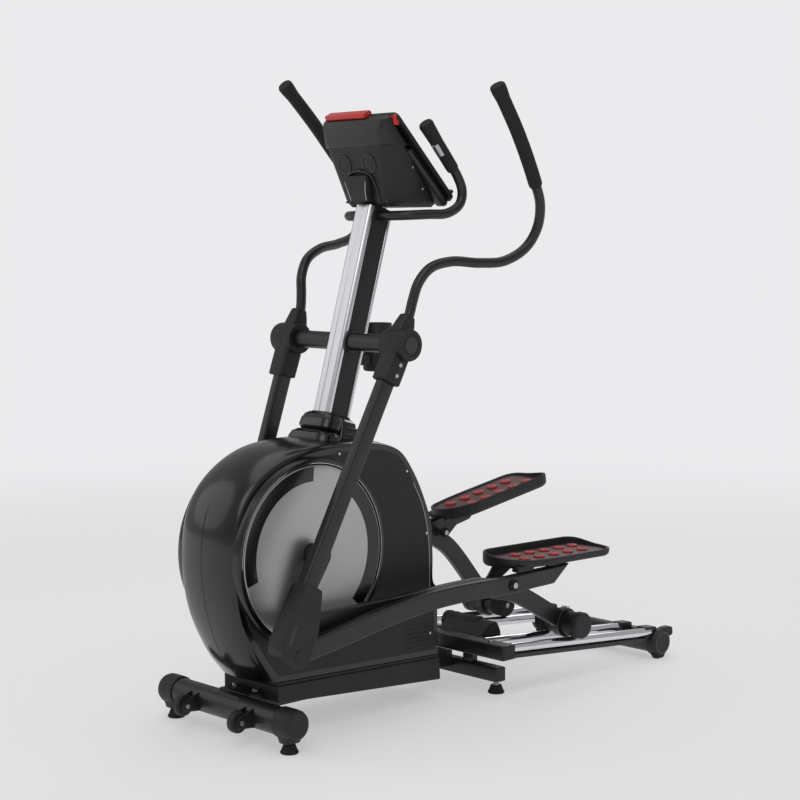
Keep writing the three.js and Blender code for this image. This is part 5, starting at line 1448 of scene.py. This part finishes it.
class TrainerLook(bpy.types.PropertyGroup):
    """Colours and light that a user would change."""

    frame_colour: tone("Frame", "Paint of the steel tubes", "#121214")
    plastic_colour: tone("Plastic", "Grained covers", "#151517")
    accent_colour: tone("Accent", "Pedal studs", "#b0403a")
    floor_colour: tone("Floor", "Studio floor", "#fafafa")
    light: FloatProperty(
        name="Light", description="Strength of the studio lights", default=1.0, min=0.0
    )


def operator(label, name, text, *steps):
    """An operator class that runs the given steps in order."""

    def execute(self, context):
        for step in steps:
            step()
        return {"FINISHED"}

    body = {"bl_idname": "trainer." + name, "bl_label": label, "__doc__": text, "execute": execute}
    return type("TRAINER_OT_" + name, (bpy.types.Operator,), body)


OPERATORS = [
    operator("Stage", "stage", "Adds the floor, the lights and the camera", stage),
    operator(
        "Front base", "front_base", "Front stabilizer, caps, feet and transport wheels",
        front_stabilizer, front_caps, levelling_feet, transport_wheels,
    ),
    operator("Beams", "beams", "Main beam, middle stabilizer and skirt", base_beams, base_skirt),
    operator(
        "Rails", "rails", "Rail frame, guide tubes and rear stabilizer", rail_frame, rail_tubes,
        rear_stabilizer,
    ),
    operator("Shroud", "shroud", "Drive covers and the mast collar", shrouds, collar),
    operator(
        "Cranks", "cranks", "Crank discs, crank arms and the drive inside", crank_discs, crank_arms,
        inner_drive,
    ),
    operator("Mast", "mast", "Mast, pivot tube and bottle holder", mast, pivot_tube, bottle_holder),
    operator(
        "Console", "console", "Console shell, face, edge strip and neck", console, console_face,
        console_trim, console_neck,
    ),
    operator("Fixed bar", "fixed_bar", "Fixed handlebar and its grips", fixed_handlebar),
    operator(
        "Swing arms", "swing_arms", "Hand levers with housings, grips and lower covers", swing_arms
    ),
    operator("Foot links", "foot_links", "Foot links, pedals and stud mats", foot_links),
    operator(
        "Pedal arms", "pedal_arms", "Pedal arms and their roller carriages", pedal_arms, rollers
    ),
]


class TRAINER_PT_panel(bpy.types.Panel):
    """Lists the look's settings and the building steps."""

    bl_label = "Elliptical Trainer"
    bl_idname = "TRAINER_PT_panel"
    bl_space_type = "VIEW_3D"
    bl_region_type = "UI"
    bl_category = "Trainer"

    def draw(self, context):
        for name in TrainerLook.__annotations__:
            self.layout.prop(context.scene.trainer_look, name)
        for made in OPERATORS:
            self.layout.operator(made.bl_idname)


CLASSES = [TrainerLook, *OPERATORS, TRAINER_PT_panel]


def register():
    """Registers the classes and the scene's settings."""
    for made in CLASSES:
        bpy.utils.register_class(made)
    bpy.types.Scene.trainer_look = bpy.props.PointerProperty(type=TrainerLook)


def unregister():
    """Undoes register."""
    del bpy.types.Scene.trainer_look
    for made in reversed(CLASSES):
        bpy.utils.unregister_class(made)


def main():
    """Builds every piece in order and writes the two bounding boxes."""
    register()
    for made in OPERATORS:
        getattr(bpy.ops.trainer, made.bl_idname.split(".")[1])()


if __name__ == "__main__":
    main()
